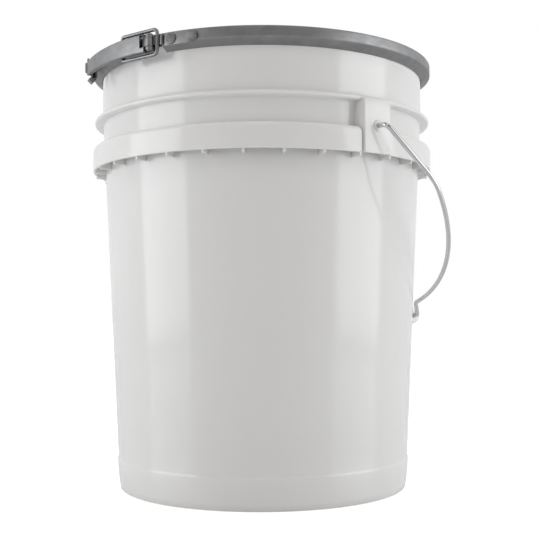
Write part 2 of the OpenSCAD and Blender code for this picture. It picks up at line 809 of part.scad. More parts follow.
// strap riveted to the ring, with a folded eye that takes a seal
module seal_hasp() {
    half = deg_of(hasp_w / 2, strap_r);
    eye_half = deg_of(hasp_eye_d / 2, strap_r);
    slot_end = hasp_a + eye_half - deg_of(eye_slot[2], strap_r);
    color(galvanised)
        difference() {
            union() {
                segment(hasp_a - half, hasp_a + half,
                        box_profile(strap_r, strap_out_r, hasp_strap_z, strap_top_z));
                segment(hasp_a - eye_half, hasp_a + eye_half, eye_points());
            }
            segment(slot_end, hasp_a + eye_half + 1,
                    box_profile(eye_slot_r, eye_slot_r + eye_slot[0], eye_slot_z, eye_slot_z + eye_slot[1]));
            radial_cylinder(hasp_a, rivet_z, ring_r - over, strap_out_r + over,
                            rivet_shank_r + rivet_fit);
        }
}

pail_body();
bail_wire();
bail_grip();
lid();
lid_gasket();
airlock_grommet();
lock_ring_band();
right_hook_bracket();
right_bracket_rivets();
left_hinge_bracket();
left_bracket_rivets();
lever();
lever_pin();
link_loop();
seal_hasp();
seal_hasp_rivet();
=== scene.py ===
import json
import math

import bmesh
import bpy
from mathutils import Matrix, Vector


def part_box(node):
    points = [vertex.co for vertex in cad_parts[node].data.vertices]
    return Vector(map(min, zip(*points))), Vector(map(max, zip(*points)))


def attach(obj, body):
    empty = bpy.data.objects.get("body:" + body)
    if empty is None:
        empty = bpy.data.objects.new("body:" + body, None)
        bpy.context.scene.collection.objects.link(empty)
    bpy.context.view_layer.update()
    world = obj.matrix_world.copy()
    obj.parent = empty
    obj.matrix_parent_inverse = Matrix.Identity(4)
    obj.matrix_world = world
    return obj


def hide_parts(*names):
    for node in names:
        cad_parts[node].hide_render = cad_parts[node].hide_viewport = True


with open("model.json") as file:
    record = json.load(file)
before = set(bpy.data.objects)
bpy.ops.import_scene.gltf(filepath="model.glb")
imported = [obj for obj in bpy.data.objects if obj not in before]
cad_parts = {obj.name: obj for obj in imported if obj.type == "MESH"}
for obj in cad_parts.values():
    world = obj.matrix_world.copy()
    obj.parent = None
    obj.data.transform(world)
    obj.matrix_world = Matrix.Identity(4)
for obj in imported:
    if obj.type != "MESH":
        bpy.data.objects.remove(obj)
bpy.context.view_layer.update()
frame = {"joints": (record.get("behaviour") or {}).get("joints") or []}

MM = 0.001
TURN = 2 * math.pi

# ------------------------ places from the frame

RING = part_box("lock_ring_band")
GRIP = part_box("bail_grip")
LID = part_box("lid")
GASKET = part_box("lid_gasket")
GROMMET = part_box("airlock_grommet")
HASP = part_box("seal_hasp")
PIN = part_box("lever_pin")
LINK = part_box("link_loop")


def joint(name):
    return next(j for j in frame["joints"] if j["name"] == name)


def polar(point):
    """Direction in degrees and distance in mm of a point from the pail's axis."""
    return math.degrees(math.atan2(point[1], point[0])), math.hypot(point[0], point[1]) / MM


BAIL_Z = joint("bail_swing")["pos_m"][2] / MM
GRIP_AT = Vector(joint("grip_spin")["pos_m"]) / MM
PIVOT_A, PIVOT_R = polar(joint("lever_swing")["pos_m"])
LUG_A, LUG_R = polar(joint("link_swing")["pos_m"])

# ------------------------ sizes, in millimetres and degrees

# pail: wall, base, skirt, rib, gussets, ears and rim bead
WALL_BASE_R, WALL_DRAFT, TAPER_TOP, WALL_T = 130.0, 0.0482, 340.0, 2.3
FOOT_PROUD, BASE_R, RECESS_R, RECESS_D, FLOOR_T, FLOOR_ROUND = 0.8, 127.9, 118.0, 2.6, 2.8, 9
SKIRT_R, SKIRT_Z0, SKIRT_Z1, SKIRT_T, SKIRT_ROUND = 154.8, 283.0, 304.0, 2.3, 3.5
RIB_R, RIB_Z, RIB_T, RIB_FILLET = 153.5, 325.5, 3.4, 0.9
GUSSETS, GUSSET_T, GUSSET_DROP, GUSSET_SET_BACK = 30, 2.0, 2.7, 0.75
EAR_X, EAR_W, EAR_T, EAR_TOP, EAR_GROOVE, EAR_ROUND = 156.5, 28.0, 2.4, 327.0, 1.2, 0.55
EAR_HOLE_R, EAR_BOSS_R, EAR_BOSS_T = 2.08, 4.6, 0.8
FLARE_Z, BEAD_FOOT_Z = 365.7, 370.2
BEAD_R, BEAD_Z, BEAD_ROUND, LIP_ROUND = 152.2, 373.2, 1.5, 1.2

# bail: wire and heads, then its bends from the ear to the grip, and the grip
BAIL_R, BAIL_HEAD_X, BAIL_HEAD_R, BAIL_HEAD_T = 2.0, 151.0, 3.2, 1.5
BAIL_LEAN, BAIL_ELBOW_X, BAIL_BEND = 0.2, 162.0, 5.0
BAIL_BLEND_R, BAIL_ARC_R, BAIL_ARC_Y = 40.0, 182.0, 24.0
DIP_X, DIP_BEND, DIP_TURN = 68.0, 7.0, 62
GRIP_REACH = math.hypot(GRIP_AT.y, GRIP_AT.z - BAIL_Z)
HANG = Vector((0.0, GRIP_AT.y, GRIP_AT.z - BAIL_Z)).normalized()
GRIP_ROUND, GRIP_PLAY, GRIP_CHAMFER, GRIP_WAIST = 2.0, 0.08, 0.5, 8

# lid, with its ribs, gasket and airlock grommet
LID_R, LID_SKIRT_R, LID_SKIRT_Z, LID_T, LID_CORNER = 153.8, 152.5, 371.0, 2.2, 1.2
LID_Z = LID[1].z / MM
PLUG_R, PLUG_T, PLUG_ROUND, LID_DEPTH, PLATEAU_R, PLATEAU_RISE = 143.5, 2.0, 2, 23.5, 109.0, 3.5
LID_RIBS, LID_RIB_T, LID_RIB_H, LID_RIB_REACH, LID_RIB_SUNK = 24, 1.6, 13, 12, 0.4
LID_HOLE_R = 6.35
GROMMET_BORE, GROMMET_WAIST, GROMMET_R, GROMMET_LIP, GROMMET_PLAY = 4.75, 6.25, 9.6, 2.4, 0.05
AIRLOCK = (GROMMET[0] + GROMMET[1]) / 2 / MM

# lock ring and its rivets
RING_R, RING_T, RING_Z, CREASE_Z, RING_LEG, RING_ROUND = 154.97, 0.9, RING[1].z / MM, 370.0, 9.0, 1.2
RING_A0, RING_A1 = -67.7, 288.1
LEG_R, LEG_Z = 147.0, 365.0
STRAP_R, STRAP_T, STRAP_HALF, STRAP_EDGE = 155.05, 1.2, 5.2, 0.25
RIVET_Z, RIVET_R, RIVET_T, DISH_R, DISH_D, SHANK_R = 372.6, 4.8, 1.4, 3.5, 0.9, 1.5
STRAP_Z0, STRAP_Z1 = RIVET_Z - STRAP_HALF, RIVET_Z + STRAP_HALF
HOOK_RIVETS, HINGE_RIVETS = (-63.95, -57.28), (-73.8, -77.2)

# latch: the link's bar in its hook, the lever, the hinge's knuckles, and the hasp
BAR_A, BAR_R, LINK_D, BAR_PLAY = -68.0, 158.4, 3.0, 0.4
HOOK_LIP_T, HOOK_LIP_R, RIDGE_R = 1.2, 159.6, 1.3
LEVER_R, LEVER_T, LEVER_Z0, LEVER_Z1, LEVER_END = 163.49, 1.5, 363.1, 377.6, -106.0
LEVER_FLANGE, LEVER_TAPER, LEVER_CORNER, LEVER_PINCH = 3.4, 1.9, 3.0, 1.6
LEVER_TAPER_A, LEVER_TAPER_RUN = LEVER_END + 26, 22
WINDOW_OFF, WINDOW_HALF, TONGUE_T = 6.1, 2.0, 0.6
LUG_PLAY, LUG_RING, LUG_REACH, LUG_HALF = 0.08, 1.5, 2.2, 3.2
PIP_OFF, PIP_Z = 2.2, 373.0
BARREL_R, BARREL_GAP, BARREL_BORE, EYE_BORE, KNUCKLE_PLAY = 3.0, 0.8, 1.42, 1.45, 0.125
KNUCKLES = (364.6, 367.5, 374.5, 377.4)
HINGE_END = -78.6
HASP_A, HASP_W, HASP_EYE, HASP_SLOT = -105.8, 8.0, 7.0, 5.0
# the wires are drawn a little thinner than the CAD's, which keeps them clear of their holes
BAIL_INSET, LINK_INSET = 0.02, 0.005


def wall_r(z):
    """Outside radius of the pail's wall at a height."""
    return WALL_BASE_R + WALL_DRAFT * min(z, TAPER_TOP)


def degrees_of(length, r):
    """Degrees that a length takes up along a circle."""
    return math.degrees(length / r)


def corner_steps(corner, r):
    """Degrees from a plate's end where sections are put, so that its rounded corner is smooth."""
    return [degrees_of(corner * (1 - math.cos(math.radians(t))), r) for t in range(0, 91, 9)]


def quarter(share):
    """Height of a quarter circle from 0 to 1, for a share of its width from 0 to 1."""
    return math.sqrt(max(0.0, 1 - (1 - max(share, 0.0)) ** 2))


# directions that need a length turned into degrees
LEVER_ROOT = PIVOT_A - degrees_of(BARREL_R + BARREL_GAP, LEVER_R)
WINDOW_A, WINDOW_TURN = PIVOT_A - degrees_of(WINDOW_OFF, LEVER_R), degrees_of(WINDOW_HALF, LEVER_R)


def at(a, r, z=0.0):
    """The point at a direction in degrees, a distance from the axis and a height."""
    return Vector((r * math.cos(math.radians(a)), r * math.sin(math.radians(a)), z))


# ------------------------ outlines

def arc(cx, cy, r, a0, a1, n=8):
    """Points on an arc from angle a0 to a1, in degrees."""
    turns = [math.radians(a0 + (a1 - a0) * i / n) for i in range(n + 1)]
    return [(cx + r * math.cos(t), cy + r * math.sin(t)) for t in turns]


def rounded(points, radius, steps=4):
    """A closed outline with each corner rounded. radius is one number, or one for each corner."""
    out = []
    count = len(points)
    for i, corner in enumerate(points):
        r = radius[i] if isinstance(radius, (list, tuple)) else radius
        p, a, b = Vector(corner), Vector(points[i - 1]), Vector(points[(i + 1) % count])
        da, db = (a - p), (b - p)
        la, lb = da.length, db.length
        if r <= 0 or min(la, lb) < 1e-6:
            out.append(tuple(p))
            continue
        da.normalize()
        db.normalize()
        angle = math.acos(max(-1.0, min(1.0, da.dot(db))))
        if angle > math.radians(176):
            out.append(tuple(p))
            continue
        back = min(r / math.tan(angle / 2), 0.45 * la, 0.45 * lb)
        start, end = p + da * back, p + db * back
        for k in range(steps + 1):
            t = k / steps
            out.append(tuple(start * (1 - t) ** 2 + p * 2 * t * (1 - t) + end * t ** 2))
    return out


def box_outline(r0, r1, z0, z1):
    return [(r0, z0), (r1, z0), (r1, z1), (r0, z1)]


def angles(a0, a1, step, fine=()):
    """Angles from a0 to a1 about a step apart, with extra ones named in fine."""
    n = max(2, math.ceil(abs(a1 - a0) / step))
    found = [a0 + (a1 - a0) * i / n for i in range(n + 1)]
    return sorted(set(found) | set(fine), reverse=a1 < a0)


# ------------------------ mesh makers

def new_object(name, mesh):
    obj = bpy.data.objects.new(name, mesh)
    bpy.context.scene.collection.objects.link(obj)
    return obj


def shade_smooth(obj, sharp):
    """Shades an object smooth but for the edges sharper than an angle."""
    obj.data.polygons.foreach_set("use_smooth", [True] * len(obj.data.polygons))
    obj.data.set_sharp_from_angle(angle=math.radians(sharp))
    return obj


def finish_mesh(name, bm, sharp=35.0):
    """Turns a bmesh in millimetres into an object in metres, smooth but for its sharp edges."""
    bmesh.ops.recalc_face_normals(bm, faces=bm.faces)
    bmesh.ops.scale(bm, vec=(MM, MM, MM), verts=bm.verts)
    mesh = bpy.data.meshes.new(name)
    bm.to_mesh(mesh)
    bm.free()
    return shade_smooth(new_object(name, mesh), sharp)


def made(name, maker, *values, sharp=35.0, **more):
    """The object that comes of one call of a mesh maker."""
    bm = bmesh.new()
    maker(bm, *values, **more)
    return finish_mesh(name, bm, sharp)


def revolve(bm, outline, turns, centre=(0.0, 0.0), lift=None):
    """Adds a closed outline of (radius, height) points turned through the given angles.
    A full turn is closed on itself, any other has flat ends. lift(angle, r, z) may move a point."""
    full = abs(abs(turns[-1] - turns[0]) - 360) < 1e-6
    rows = turns[:-1] if full else turns
    grid = []
    for a in rows:
        c, s = math.cos(math.radians(a)), math.sin(math.radians(a))
        row = []
        for r, z in outline:
            r2, z2 = lift(a, r, z) if lift else (r, z)
            row.append(bm.verts.new((centre[0] + r2 * c, centre[1] + r2 * s, z2)))
        grid.append(row)
    n = len(outline)
    for i in range(len(grid) if full else len(grid) - 1):
        a, b = grid[i], grid[(i + 1) % len(grid)]
        for k in range(n):
            m = (k + 1) % n
            bm.faces.new((a[k], a[m], b[m], b[k]))
    if not full:
        bm.faces.new(grid[0])
        bm.faces.new(list(reversed(grid[-1])))


def lathe(name, outline, turns, **more):
    """The object that comes of an outline turned about the axis, its doubled points merged."""
    bm = bmesh.new()
    revolve(bm, outline, turns, **more)
    bmesh.ops.remove_doubles(bm, verts=bm.verts, dist=1e-5)
    return finish_mesh(name, bm)


def tube(bm, path, radius, sides):
    """Adds a round tube along a path of points, with flat ends. radius may be one for each point."""
    points = [Vector(p) for p in path]
    rings = []
    tangent = (points[1] - points[0]).normalized()
    normal = tangent.orthogonal().normalized()
    for i, p in enumerate(points):
        ahead = points[min(i + 1, len(points) - 1)] - points[max(i - 1, 0)]
        turned = ahead.normalized()
        normal = (tangent.rotation_difference(turned) @ normal).normalized()
        normal = (normal - turned * normal.dot(turned)).normalized()
        tangent = turned
        side = tangent.cross(normal)
        r = radius[i] if isinstance(radius, (list, tuple)) else radius
        ring = []
        for k in range(sides):
            t = TURN * k / sides
            ring.append(bm.verts.new(p + r * (math.cos(t) * normal + math.sin(t) * side)))
        rings.append(ring)
    for a, b in zip(rings, rings[1:]):
        for k in range(sides):
            m = (k + 1) % sides
            bm.faces.new((a[k], a[m], b[m], b[k]))
    bm.faces.new(list(reversed(rings[0])))
    bm.faces.new(rings[-1])


def bent_path(corners, radii, step=0.6):
    """Points along straight runs joined by circular bends: one radius for each inner corner."""
    path = [Vector(corners[0])]
    for i in range(1, len(corners) - 1):
        p = Vector(corners[i])
        da = (Vector(corners[i - 1]) - p).normalized()
        db = (Vector(corners[i + 1]) - p).normalized()
        angle = da.angle(db)
        r = radii[i - 1]
        centre = p + (da + db).normalized() * (r / math.sin(angle / 2))
        start = p + da * (r / math.tan(angle / 2))
        end = p + db * (r / math.tan(angle / 2))
        u, v = (start - centre), (end - centre)
        axis = u.cross(v).normalized()
        sweep = u.angle(v)
        n = max(6, int(sweep * r / step))
        for k in range(n + 1):
            path.append(centre + Matrix.Rotation(sweep * k / n, 3, axis) @ u)
    path.append(Vector(corners[-1]))
    return path


def block(bm, outline, t0, t1, place):
    """Adds a prism: a closed 2D outline in the local XZ plane, from t0 to t1 along local Y."""
    a, b = [[bm.verts.new(place @ Vector((x, t, z))) for x, z in outline] for t in (t0, t1)]
    n = len(outline)
    for k in range(n):
        m = (k + 1) % n
        bm.faces.new((a[k], a[m], b[m], b[k]))
    bm.faces.new(list(reversed(a)))
    bm.faces.new(b)


def turn_about_axis(a):
    """The turn round the pail's axis by a direction in degrees."""
    return Matrix.Rotation(math.radians(a), 4, "Z")


def soften(obj, width, segments=2, angle=40.0):
    """Rounds an object's sharp edges and keeps the flats flat."""
    mod = obj.modifiers.new("round", "BEVEL")
    mod.width = width * MM
    mod.segments = segments
    mod.limit_method = "ANGLE"
    mod.angle_limit = math.radians(angle)
    apply_modifiers(obj)
    obj.data.set_sharp_from_angle(angle=math.radians(50))
    return obj


def apply_modifiers(obj):
    graph = bpy.context.evaluated_depsgraph_get()
    made = bpy.data.meshes.new_from_object(obj.evaluated_get(graph))
    old = obj.data
    obj.modifiers.clear()
    obj.data = made
    bpy.data.meshes.remove(old)


def cut(obj, cutters, mode="DIFFERENCE"):
    """Takes other closed solids away from a solid, or joins them to it."""
    for other in cutters:
        mod = obj.modifiers.new("cut", "BOOLEAN")
        mod.operation = mode
        mod.solver = "EXACT"
        mod.object = other
        apply_modifiers(obj)
        bpy.data.objects.remove(other)
    return obj


def join(objects):
    """Joins objects into the first one."""
    first = objects[0]
    bm = bmesh.new()
    for obj in objects:
        bm.from_mesh(obj.data)
    bm.to_mesh(first.data)
    bm.free()
    for other in objects[1:]:
        bpy.data.objects.remove(other)
    return shade_smooth(first, 40)


def radial_rod(bm, a, z, r0, r1, radius, sides):
    """Adds a round rod that lies along a radius of the pail."""
    tube(bm, [at(a, r0, z), at(a, r1, z)], radius, sides)


# ------------------------ pail

def foot_outline():
    """The base's outer corner, then the foot band, which stands a little proud of the wall."""
    base = [(RECESS_R - 2.6, RECESS_D), (RECESS_R - 0.6, 0.5), (RECESS_R + 0.4, 0.0),
            (BASE_R, 0.0), (BASE_R + 1.0, 0.25), (BASE_R + 1.4, 0.8)]
    band = [(wall_r(5.6), 5.6), (wall_r(14) + FOOT_PROUD * 0.75, 14),
            (wall_r(20) + FOOT_PROUD * 0.95, 20),
            (wall_r(25.4) + FOOT_PROUD, 25.4), (wall_r(26.2) + FOOT_PROUD * 0.85, 26.3),
            (wall_r(27) + FOOT_PROUD * 0.2, 27.0), (wall_r(28), 28.0)]
    return base + band


def rib_outline():
    """The half-round rib under the rim, filleted into the wall below and above."""
    top, half = RIB_Z + RIB_T, RIB_T / 2
    near = RIB_FILLET / 3
    below = [(wall_r(RIB_Z), RIB_Z - RIB_FILLET), (wall_r(RIB_Z) + near, RIB_Z - near),
             (wall_r(RIB_Z) + RIB_FILLET, RIB_Z)]
    above = [(wall_r(top) + RIB_FILLET, top), (wall_r(top) + near, top + near),
             (wall_r(top), top + RIB_FILLET)]
    return below + arc(RIB_R - half, RIB_Z + half, half, -90, 90, 10) + above


def wall_outline():
    """The pail's own section: base, foot, wall, rib and rim bead, outside and in."""
    edge = wall_r(TAPER_TOP)
    outer = foot_outline() + [(wall_r(z), z) for z in range(40, 320, 20)] + rib_outline()
    outer += [(wall_r(335), 335), (edge, 341), (edge, 353), (edge, FLARE_Z), (edge + 0.25, FLARE_Z + 0.45)]
    outer += [(BEAD_R - 0.5, BEAD_FOOT_Z - 0.45), (BEAD_R, BEAD_FOOT_Z)]
    outer += arc(BEAD_R - BEAD_ROUND, BEAD_Z - BEAD_ROUND, BEAD_ROUND, 0, 90, 5)
    inside = edge - WALL_T
    inner = arc(inside + LIP_ROUND, BEAD_Z - LIP_ROUND, LIP_ROUND, 90, 180, 4)
    inner += [(inside, 360), (inside, TAPER_TOP)]
    inner += [(wall_r(z) - WALL_T, z) for z in range(320, 20, -20)]
    floor = RECESS_D + FLOOR_T
    inner += arc(wall_r(floor) - WALL_T - FLOOR_ROUND, floor + FLOOR_ROUND, FLOOR_ROUND, 0, -90, 8)
    return outer + inner, floor


def make_pail_wall():
    outline, floor = wall_outline()
    outline += [(r, floor) for r in (90.0, 45.0, 0.0)] + [(r, RECESS_D) for r in (0.0, 45.0, 90.0)]
    return lathe("pail_wall", outline, angles(0, 360, 1.0))


def make_skirt(name, a0, a1):
    """One of the two hollow skirt bands between the ears, its upper corners rounded at both ends."""
    wall, inside = wall_r(SKIRT_Z1), SKIRT_R - SKIRT_T
    root, under, foot = wall - 1.2, SKIRT_Z1 - SKIRT_T, SKIRT_Z1 - SKIRT_ROUND
    outline = [(root, under), (inside - 1, under), (inside, under - 1),
               (inside, SKIRT_Z0 + 0.4), (inside + 0.4, SKIRT_Z0), (SKIRT_R - 0.6, SKIRT_Z0),
               (SKIRT_R - 0.15, SKIRT_Z0 + 0.2), (SKIRT_R, SKIRT_Z0 + 0.7),
               (SKIRT_R, SKIRT_Z0 + 5), (SKIRT_R, SKIRT_Z0 + 11)]
    outline += arc(SKIRT_R - SKIRT_ROUND, foot, SKIRT_ROUND, 0, 90, 8)
    outline += [(wall + 1, SKIRT_Z1), (wall + 0.3, SKIRT_Z1 + 0.3), (wall - 0.2, SKIRT_Z1 + 1.0),
                (root, SKIRT_Z1 + 1.0)]
    near = corner_steps(SKIRT_ROUND, SKIRT_R)
    fine = [a0 + d for d in near] + [a1 - d for d in near]
    least = 0.18

    def lift(a, r, z):
        """Lowers the top along a quarter circle towards both ends, to a least share of its height."""
        d = min(a - a0, a1 - a) / degrees_of(SKIRT_ROUND, SKIRT_R)
        if d >= 1 or z <= foot:
            return r, z
        return r, foot + (z - foot) * (least + (1 - least) * quarter(d))

    return lathe(name, outline, angles(a0, a1, 1.0, fine), lift=lift)


def make_gussets():
    """The small upright plates under the skirt, evenly spaced, with the ears between two of them."""
    z0, z1 = SKIRT_Z0 - GUSSET_DROP, SKIRT_Z1 - SKIRT_T + 0.4
    root, tip = wall_r(z0) - 1.0, SKIRT_R - GUSSET_SET_BACK
    outline = rounded([(root, z0), (tip, z0), (tip, z1), (root, z1)], [0, 0.7, 0, 0])
    bm = bmesh.new()
    for k in range(GUSSETS):
        block(bm, outline, -GUSSET_T / 2, GUSSET_T / 2, turn_about_axis((k + 0.5) * 360 / GUSSETS))
    return soften(finish_mesh("pail_gussets", bm), 0.3)


def make_ear(name, a):
    """Box for the bail's end: a flat plate with a bossed hole, two cheeks and a top, open below."""
    half, plate = EAR_W / 2, EAR_X - EAR_T
    root = wall_r(SKIRT_Z0) - WALL_T / 2
    still = Matrix.Identity(4)
    beyond, below = root - 20, SKIRT_Z0 - 5
    ear = made(name, block, box_outline(root, EAR_X, SKIRT_Z0, EAR_TOP), -half, half, still)
    hollow = box_outline(beyond, plate, below, RIB_Z)
    cut(ear, [made("ear_hollow", block, hollow, -half + EAR_T, half - EAR_T, still)])
    soften(ear, EAR_ROUND, 3)
    face = EAR_X + EAR_BOSS_T
    boss = made("ear_boss", radial_rod, 0, BAIL_Z, EAR_X - EAR_T / 2, face, EAR_BOSS_R, 48)
    cut(ear, [soften(boss, 0.3)], "UNION")
    cut(ear, [made("ear_hole", radial_rod, 0, BAIL_Z, plate - 2, face + 2, EAR_HOLE_R + 0.02, 40)])
    ear.data.transform(turn_about_axis(a))
    return shade_smooth(ear, 30)


# ------------------------ bail

def bail_points():
    """The bail's centre line in its own plane: distance along the ear axis, then away from it."""
    lean = math.atan(BAIL_LEAN)
    elbow = Vector((BAIL_ELBOW_X, BAIL_BEND))
    inwards = Vector((-math.cos(lean), math.sin(lean)))
    along = Vector((math.sin(lean), math.cos(lean)))
    leg = elbow - BAIL_BEND * inwards
    q = leg + BAIL_BLEND_R * inwards - Vector((0, BAIL_ARC_Y))
    s = q.dot(along)
    length = -s + math.sqrt(s * s - q.dot(q) + (BAIL_ARC_R - BAIL_BLEND_R) ** 2)
    blend_c = leg + length * along + BAIL_BLEND_R * inwards
    blend_a = math.atan2(blend_c.y - BAIL_ARC_Y, blend_c.x)
    a0, a1 = math.asin(DIP_X / BAIL_ARC_R), math.radians(DIP_TURN)
    out0, out1 = Vector((math.sin(a0), math.cos(a0))), Vector((math.sin(a1), math.cos(a1)))
    start = Vector((0.0, BAIL_ARC_Y)) + BAIL_ARC_R * out0
    c1 = start + DIP_BEND * out0
    low = c1 - DIP_BEND * out1
    run = (GRIP_REACH - BAIL_BEND * (1 - math.cos(a1)) - low.y) / math.sin(a1)
    c2 = low + run * Vector((-math.cos(a1), math.sin(a1))) - BAIL_BEND * out1
    deg = math.degrees
    line = [(BAIL_HEAD_X + 0.4, 0.0), (BAIL_HEAD_X + 5.0, 0.0)]
    line += arc(elbow.x, elbow.y, BAIL_BEND, -90, -deg(lean), 12)
    line += arc(blend_c.x, blend_c.y, BAIL_BLEND_R, -deg(lean), deg(blend_a), 14)
    line += arc(0.0, BAIL_ARC_Y, BAIL_ARC_R, deg(blend_a), 90 - deg(a0), 60)[1:]
    line += arc(c1.x, c1.y, DIP_BEND, -90 - deg(a0), -90 - deg(a1), 8)[1:]
    line += arc(c2.x, c2.y, BAIL_BEND, 90 - deg(a1), 90, 10)
    line += [(c2.x * share, GRIP_REACH) for share in (0.8, 0.5, 0.2, 0.0)]
    return line


def hang(s, w):
    """A point of the bail's own plane, hanging in place."""
    return Vector((s, 0.0, BAIL_Z)) + w * HANG


def make_bail():
    """The bent wire, with an upset head at each end inside the ear."""
    half = bail_points()
    line = half + [(-s, w) for s, w in reversed(half[:-1])]
    bm = bmesh.new()
    tube(bm, [hang(s, w) for s, w in line], BAIL_R - BAIL_INSET, 24)
    neck, near, edge, chamfer = BAIL_R, BAIL_HEAD_R - 0.3, 0.05, 0.35
    radii = [neck, near, BAIL_HEAD_R, BAIL_HEAD_R, near, neck]
    steps = [0.0, edge, chamfer, BAIL_HEAD_T - chamfer, BAIL_HEAD_T - edge, BAIL_HEAD_T]
    for side in (-1, 1):
        tube(bm, [(side * (BAIL_HEAD_X + d), 0.0, BAIL_Z) for d in steps], radii, 32)
    return finish_mesh("bail_rod", bm, 50)


def make_grip():
    """Plastic tube on the bail, with a shallow waist line near each end."""
    half = (GRIP[1].x - GRIP[0].x) / 2 / MM
    r = (GRIP[1].z - GRIP[0].z) / 2 / MM
    bore = BAIL_R + GRIP_PLAY
    outline = [(bore, -half + GRIP_CHAMFER), (bore + GRIP_CHAMFER, -half)]
    outline += arc(r - GRIP_ROUND, -half + GRIP_ROUND, GRIP_ROUND, -90, 0, 8)
    for z in (-half + GRIP_WAIST, half - GRIP_WAIST):
        outline += [(r, z - 0.9), (r - 0.25, z - 0.45), (r - 0.3, z), (r - 0.25, z + 0.45), (r, z + 0.9)]
    outline += arc(r - GRIP_ROUND, half - GRIP_ROUND, GRIP_ROUND, 0, 90, 8)
    outline += [(bore + GRIP_CHAMFER, half), (bore, half - GRIP_CHAMFER)]
    grip = lathe("bail_grip_tube", outline, angles(0, 360, 5.0))
    grip.data.transform(Matrix.Translation(GRIP_AT * MM) @ Matrix.Rotation(math.pi / 2, 4, "Y"))
    return grip


# ------------------------ lid

def lid_outline():
    """The lid's section: the sunk panel with its raised middle, the plug wall, the rim and its skirt."""
    panel = LID_Z - LID_DEPTH
    under, corner, plug = panel - LID_T, LID_CORNER, PLUG_R - PLUG_T
    foot, raised = PLATEAU_R + PLATEAU_RISE, under + PLATEAU_RISE
    out = [(0.0, raised), (60.0, raised), (PLATEAU_R + 0.6, raised), (foot + 0.6, under), (125.0, under)]
    out += arc(PLUG_R - PLUG_ROUND, under + PLUG_ROUND, PLUG_ROUND, -90, 0, 5)
    out += [(PLUG_R, LID_Z - LID_T), (LID_SKIRT_R, LID_Z - LID_T), (LID_SKIRT_R, LID_SKIRT_Z + 0.3),
            (LID_SKIRT_R + 0.3, LID_SKIRT_Z), (LID_R - 0.3, LID_SKIRT_Z), (LID_R, LID_SKIRT_Z + 0.3)]
    out += arc(LID_R - corner, LID_Z - corner, corner, 0, 90, 5)
    out += arc(plug + corner, LID_Z - corner, corner, 90, 180, 5)
    out += arc(plug - PLUG_ROUND, panel + PLUG_ROUND, PLUG_ROUND, 0, -90, 5)
    top = panel + PLATEAU_RISE
    out += [(126.0, panel), (foot + 0.5, panel), (foot - 0.5, panel + 0.4), (PLATEAU_R + 0.5, top - 0.4),
            (PLATEAU_R - 0.6, top), (60.0, top), (0.0, top)]
    return out, panel


def make_lid():
    outline, panel = lid_outline()
    lid = lathe("lid_shell", outline, angles(0, 360, 1.5))
    through = [(AIRLOCK.x, AIRLOCK.y, z) for z in (panel - 4, panel + 8)]
    cut(lid, [made("lid_hole", tube, through, LID_HOLE_R, 48)])
    return shade_smooth(lid, 40)


def make_lid_ribs():
    """Upright ribs in the corner between the lid's panel and its plug wall."""
    panel = LID_Z - LID_DEPTH
    root = PLUG_R - PLUG_T + LID_RIB_SUNK
    low, top, toe = panel - LID_RIB_SUNK, panel + LID_RIB_H, root - LID_RIB_REACH
    corners = [(root, low), (root, top), (root - 1.6, top), (toe, panel + 1.5), (toe, low)]
    outline = rounded(corners, [0, 0, 1.0, 0.6, 0])
    bm = bmesh.new()
    for k in range(LID_RIBS):
        block(bm, outline, -LID_RIB_T / 2, LID_RIB_T / 2, turn_about_axis((k + 0.5) * 360 / LID_RIBS))
    return soften(finish_mesh("lid_ribs", bm), 0.25)


def make_gasket():
    """Rubber ring under the lid's rim, which the ring presses onto the pail's bead."""
    z0, z1 = GASKET[0].z / MM, GASKET[1].z / MM
    outline = rounded(box_outline(PLUG_R + 1.2, LID_SKIRT_R - 1.0, z0, z1), 0.5, 3)
    return lathe("gasket_ring", outline, angles(0, 360, 2.0))


def make_grommet():
    """Rubber ring with a lip on each side of the lid's panel."""
    z0, z1 = GROMMET[0].z / MM, GROMMET[1].z / MM
    r, bore, waist = GROMMET_R, GROMMET_BORE, GROMMET_WAIST
    low, high = z0 + GROMMET_LIP - GROMMET_PLAY, z1 - GROMMET_LIP + GROMMET_PLAY
    outline = [(bore, z0 + 0.5), (bore + 0.5, z0), (r - 1.2, z0), (r - 0.3, z0 + 0.4), (r, z0 + 1.3),
               (r, low), (waist, low), (waist, high), (r, high),
               (r, z1 - 1.3), (r - 0.3, z1 - 0.4), (r - 1.2, z1), (bore + 0.5, z1), (bore, z1 - 0.5)]
    return lathe("grommet_ring", outline, angles(0, 360, 6.0), centre=(AIRLOCK.x, AIRLOCK.y))


# ------------------------ lock ring

def make_band():
    """Channel-section band: wall, flat top leg and sloping lower leg, open at the latch."""
    slope = Vector((RING_R - LEG_R, CREASE_Z - LEG_Z)).normalized()
    up = Vector((-slope.y, slope.x)) * RING_T
    leg = [(LEG_R, LEG_Z), (LEG_R + 2.7, LEG_Z + 1.69), (LEG_R + 5.4, LEG_Z + 3.37)]
    back, lip, under = RING_R - RING_T, RING_R - RING_LEG, RING_Z - RING_T
    outline = leg + [(RING_R - 0.45, CREASE_Z - 0.3), (RING_R - 0.08, CREASE_Z + 0.15),
                     (RING_R, CREASE_Z + 0.6), (RING_R, 373.0), (RING_R, 375.5)]
    outline += arc(RING_R - RING_ROUND, RING_Z - RING_ROUND, RING_ROUND, 0, 90, 6)
    outline += [(RING_R - 5, RING_Z), (lip + 0.2, RING_Z), (lip, RING_Z - 0.2), (lip, under),
                (RING_R - 5, under), (RING_R - 1.5, under), (back, RING_Z - 1.5),
                (back, 374.0), (back, CREASE_Z + 0.7), (back - 0.3, CREASE_Z + 0.3)]
    outline += [(r + up.x, z + up.y) for r, z in reversed(leg)]
    return lathe("ring_band", outline, angles(RING_A0, RING_A1, 1.0))


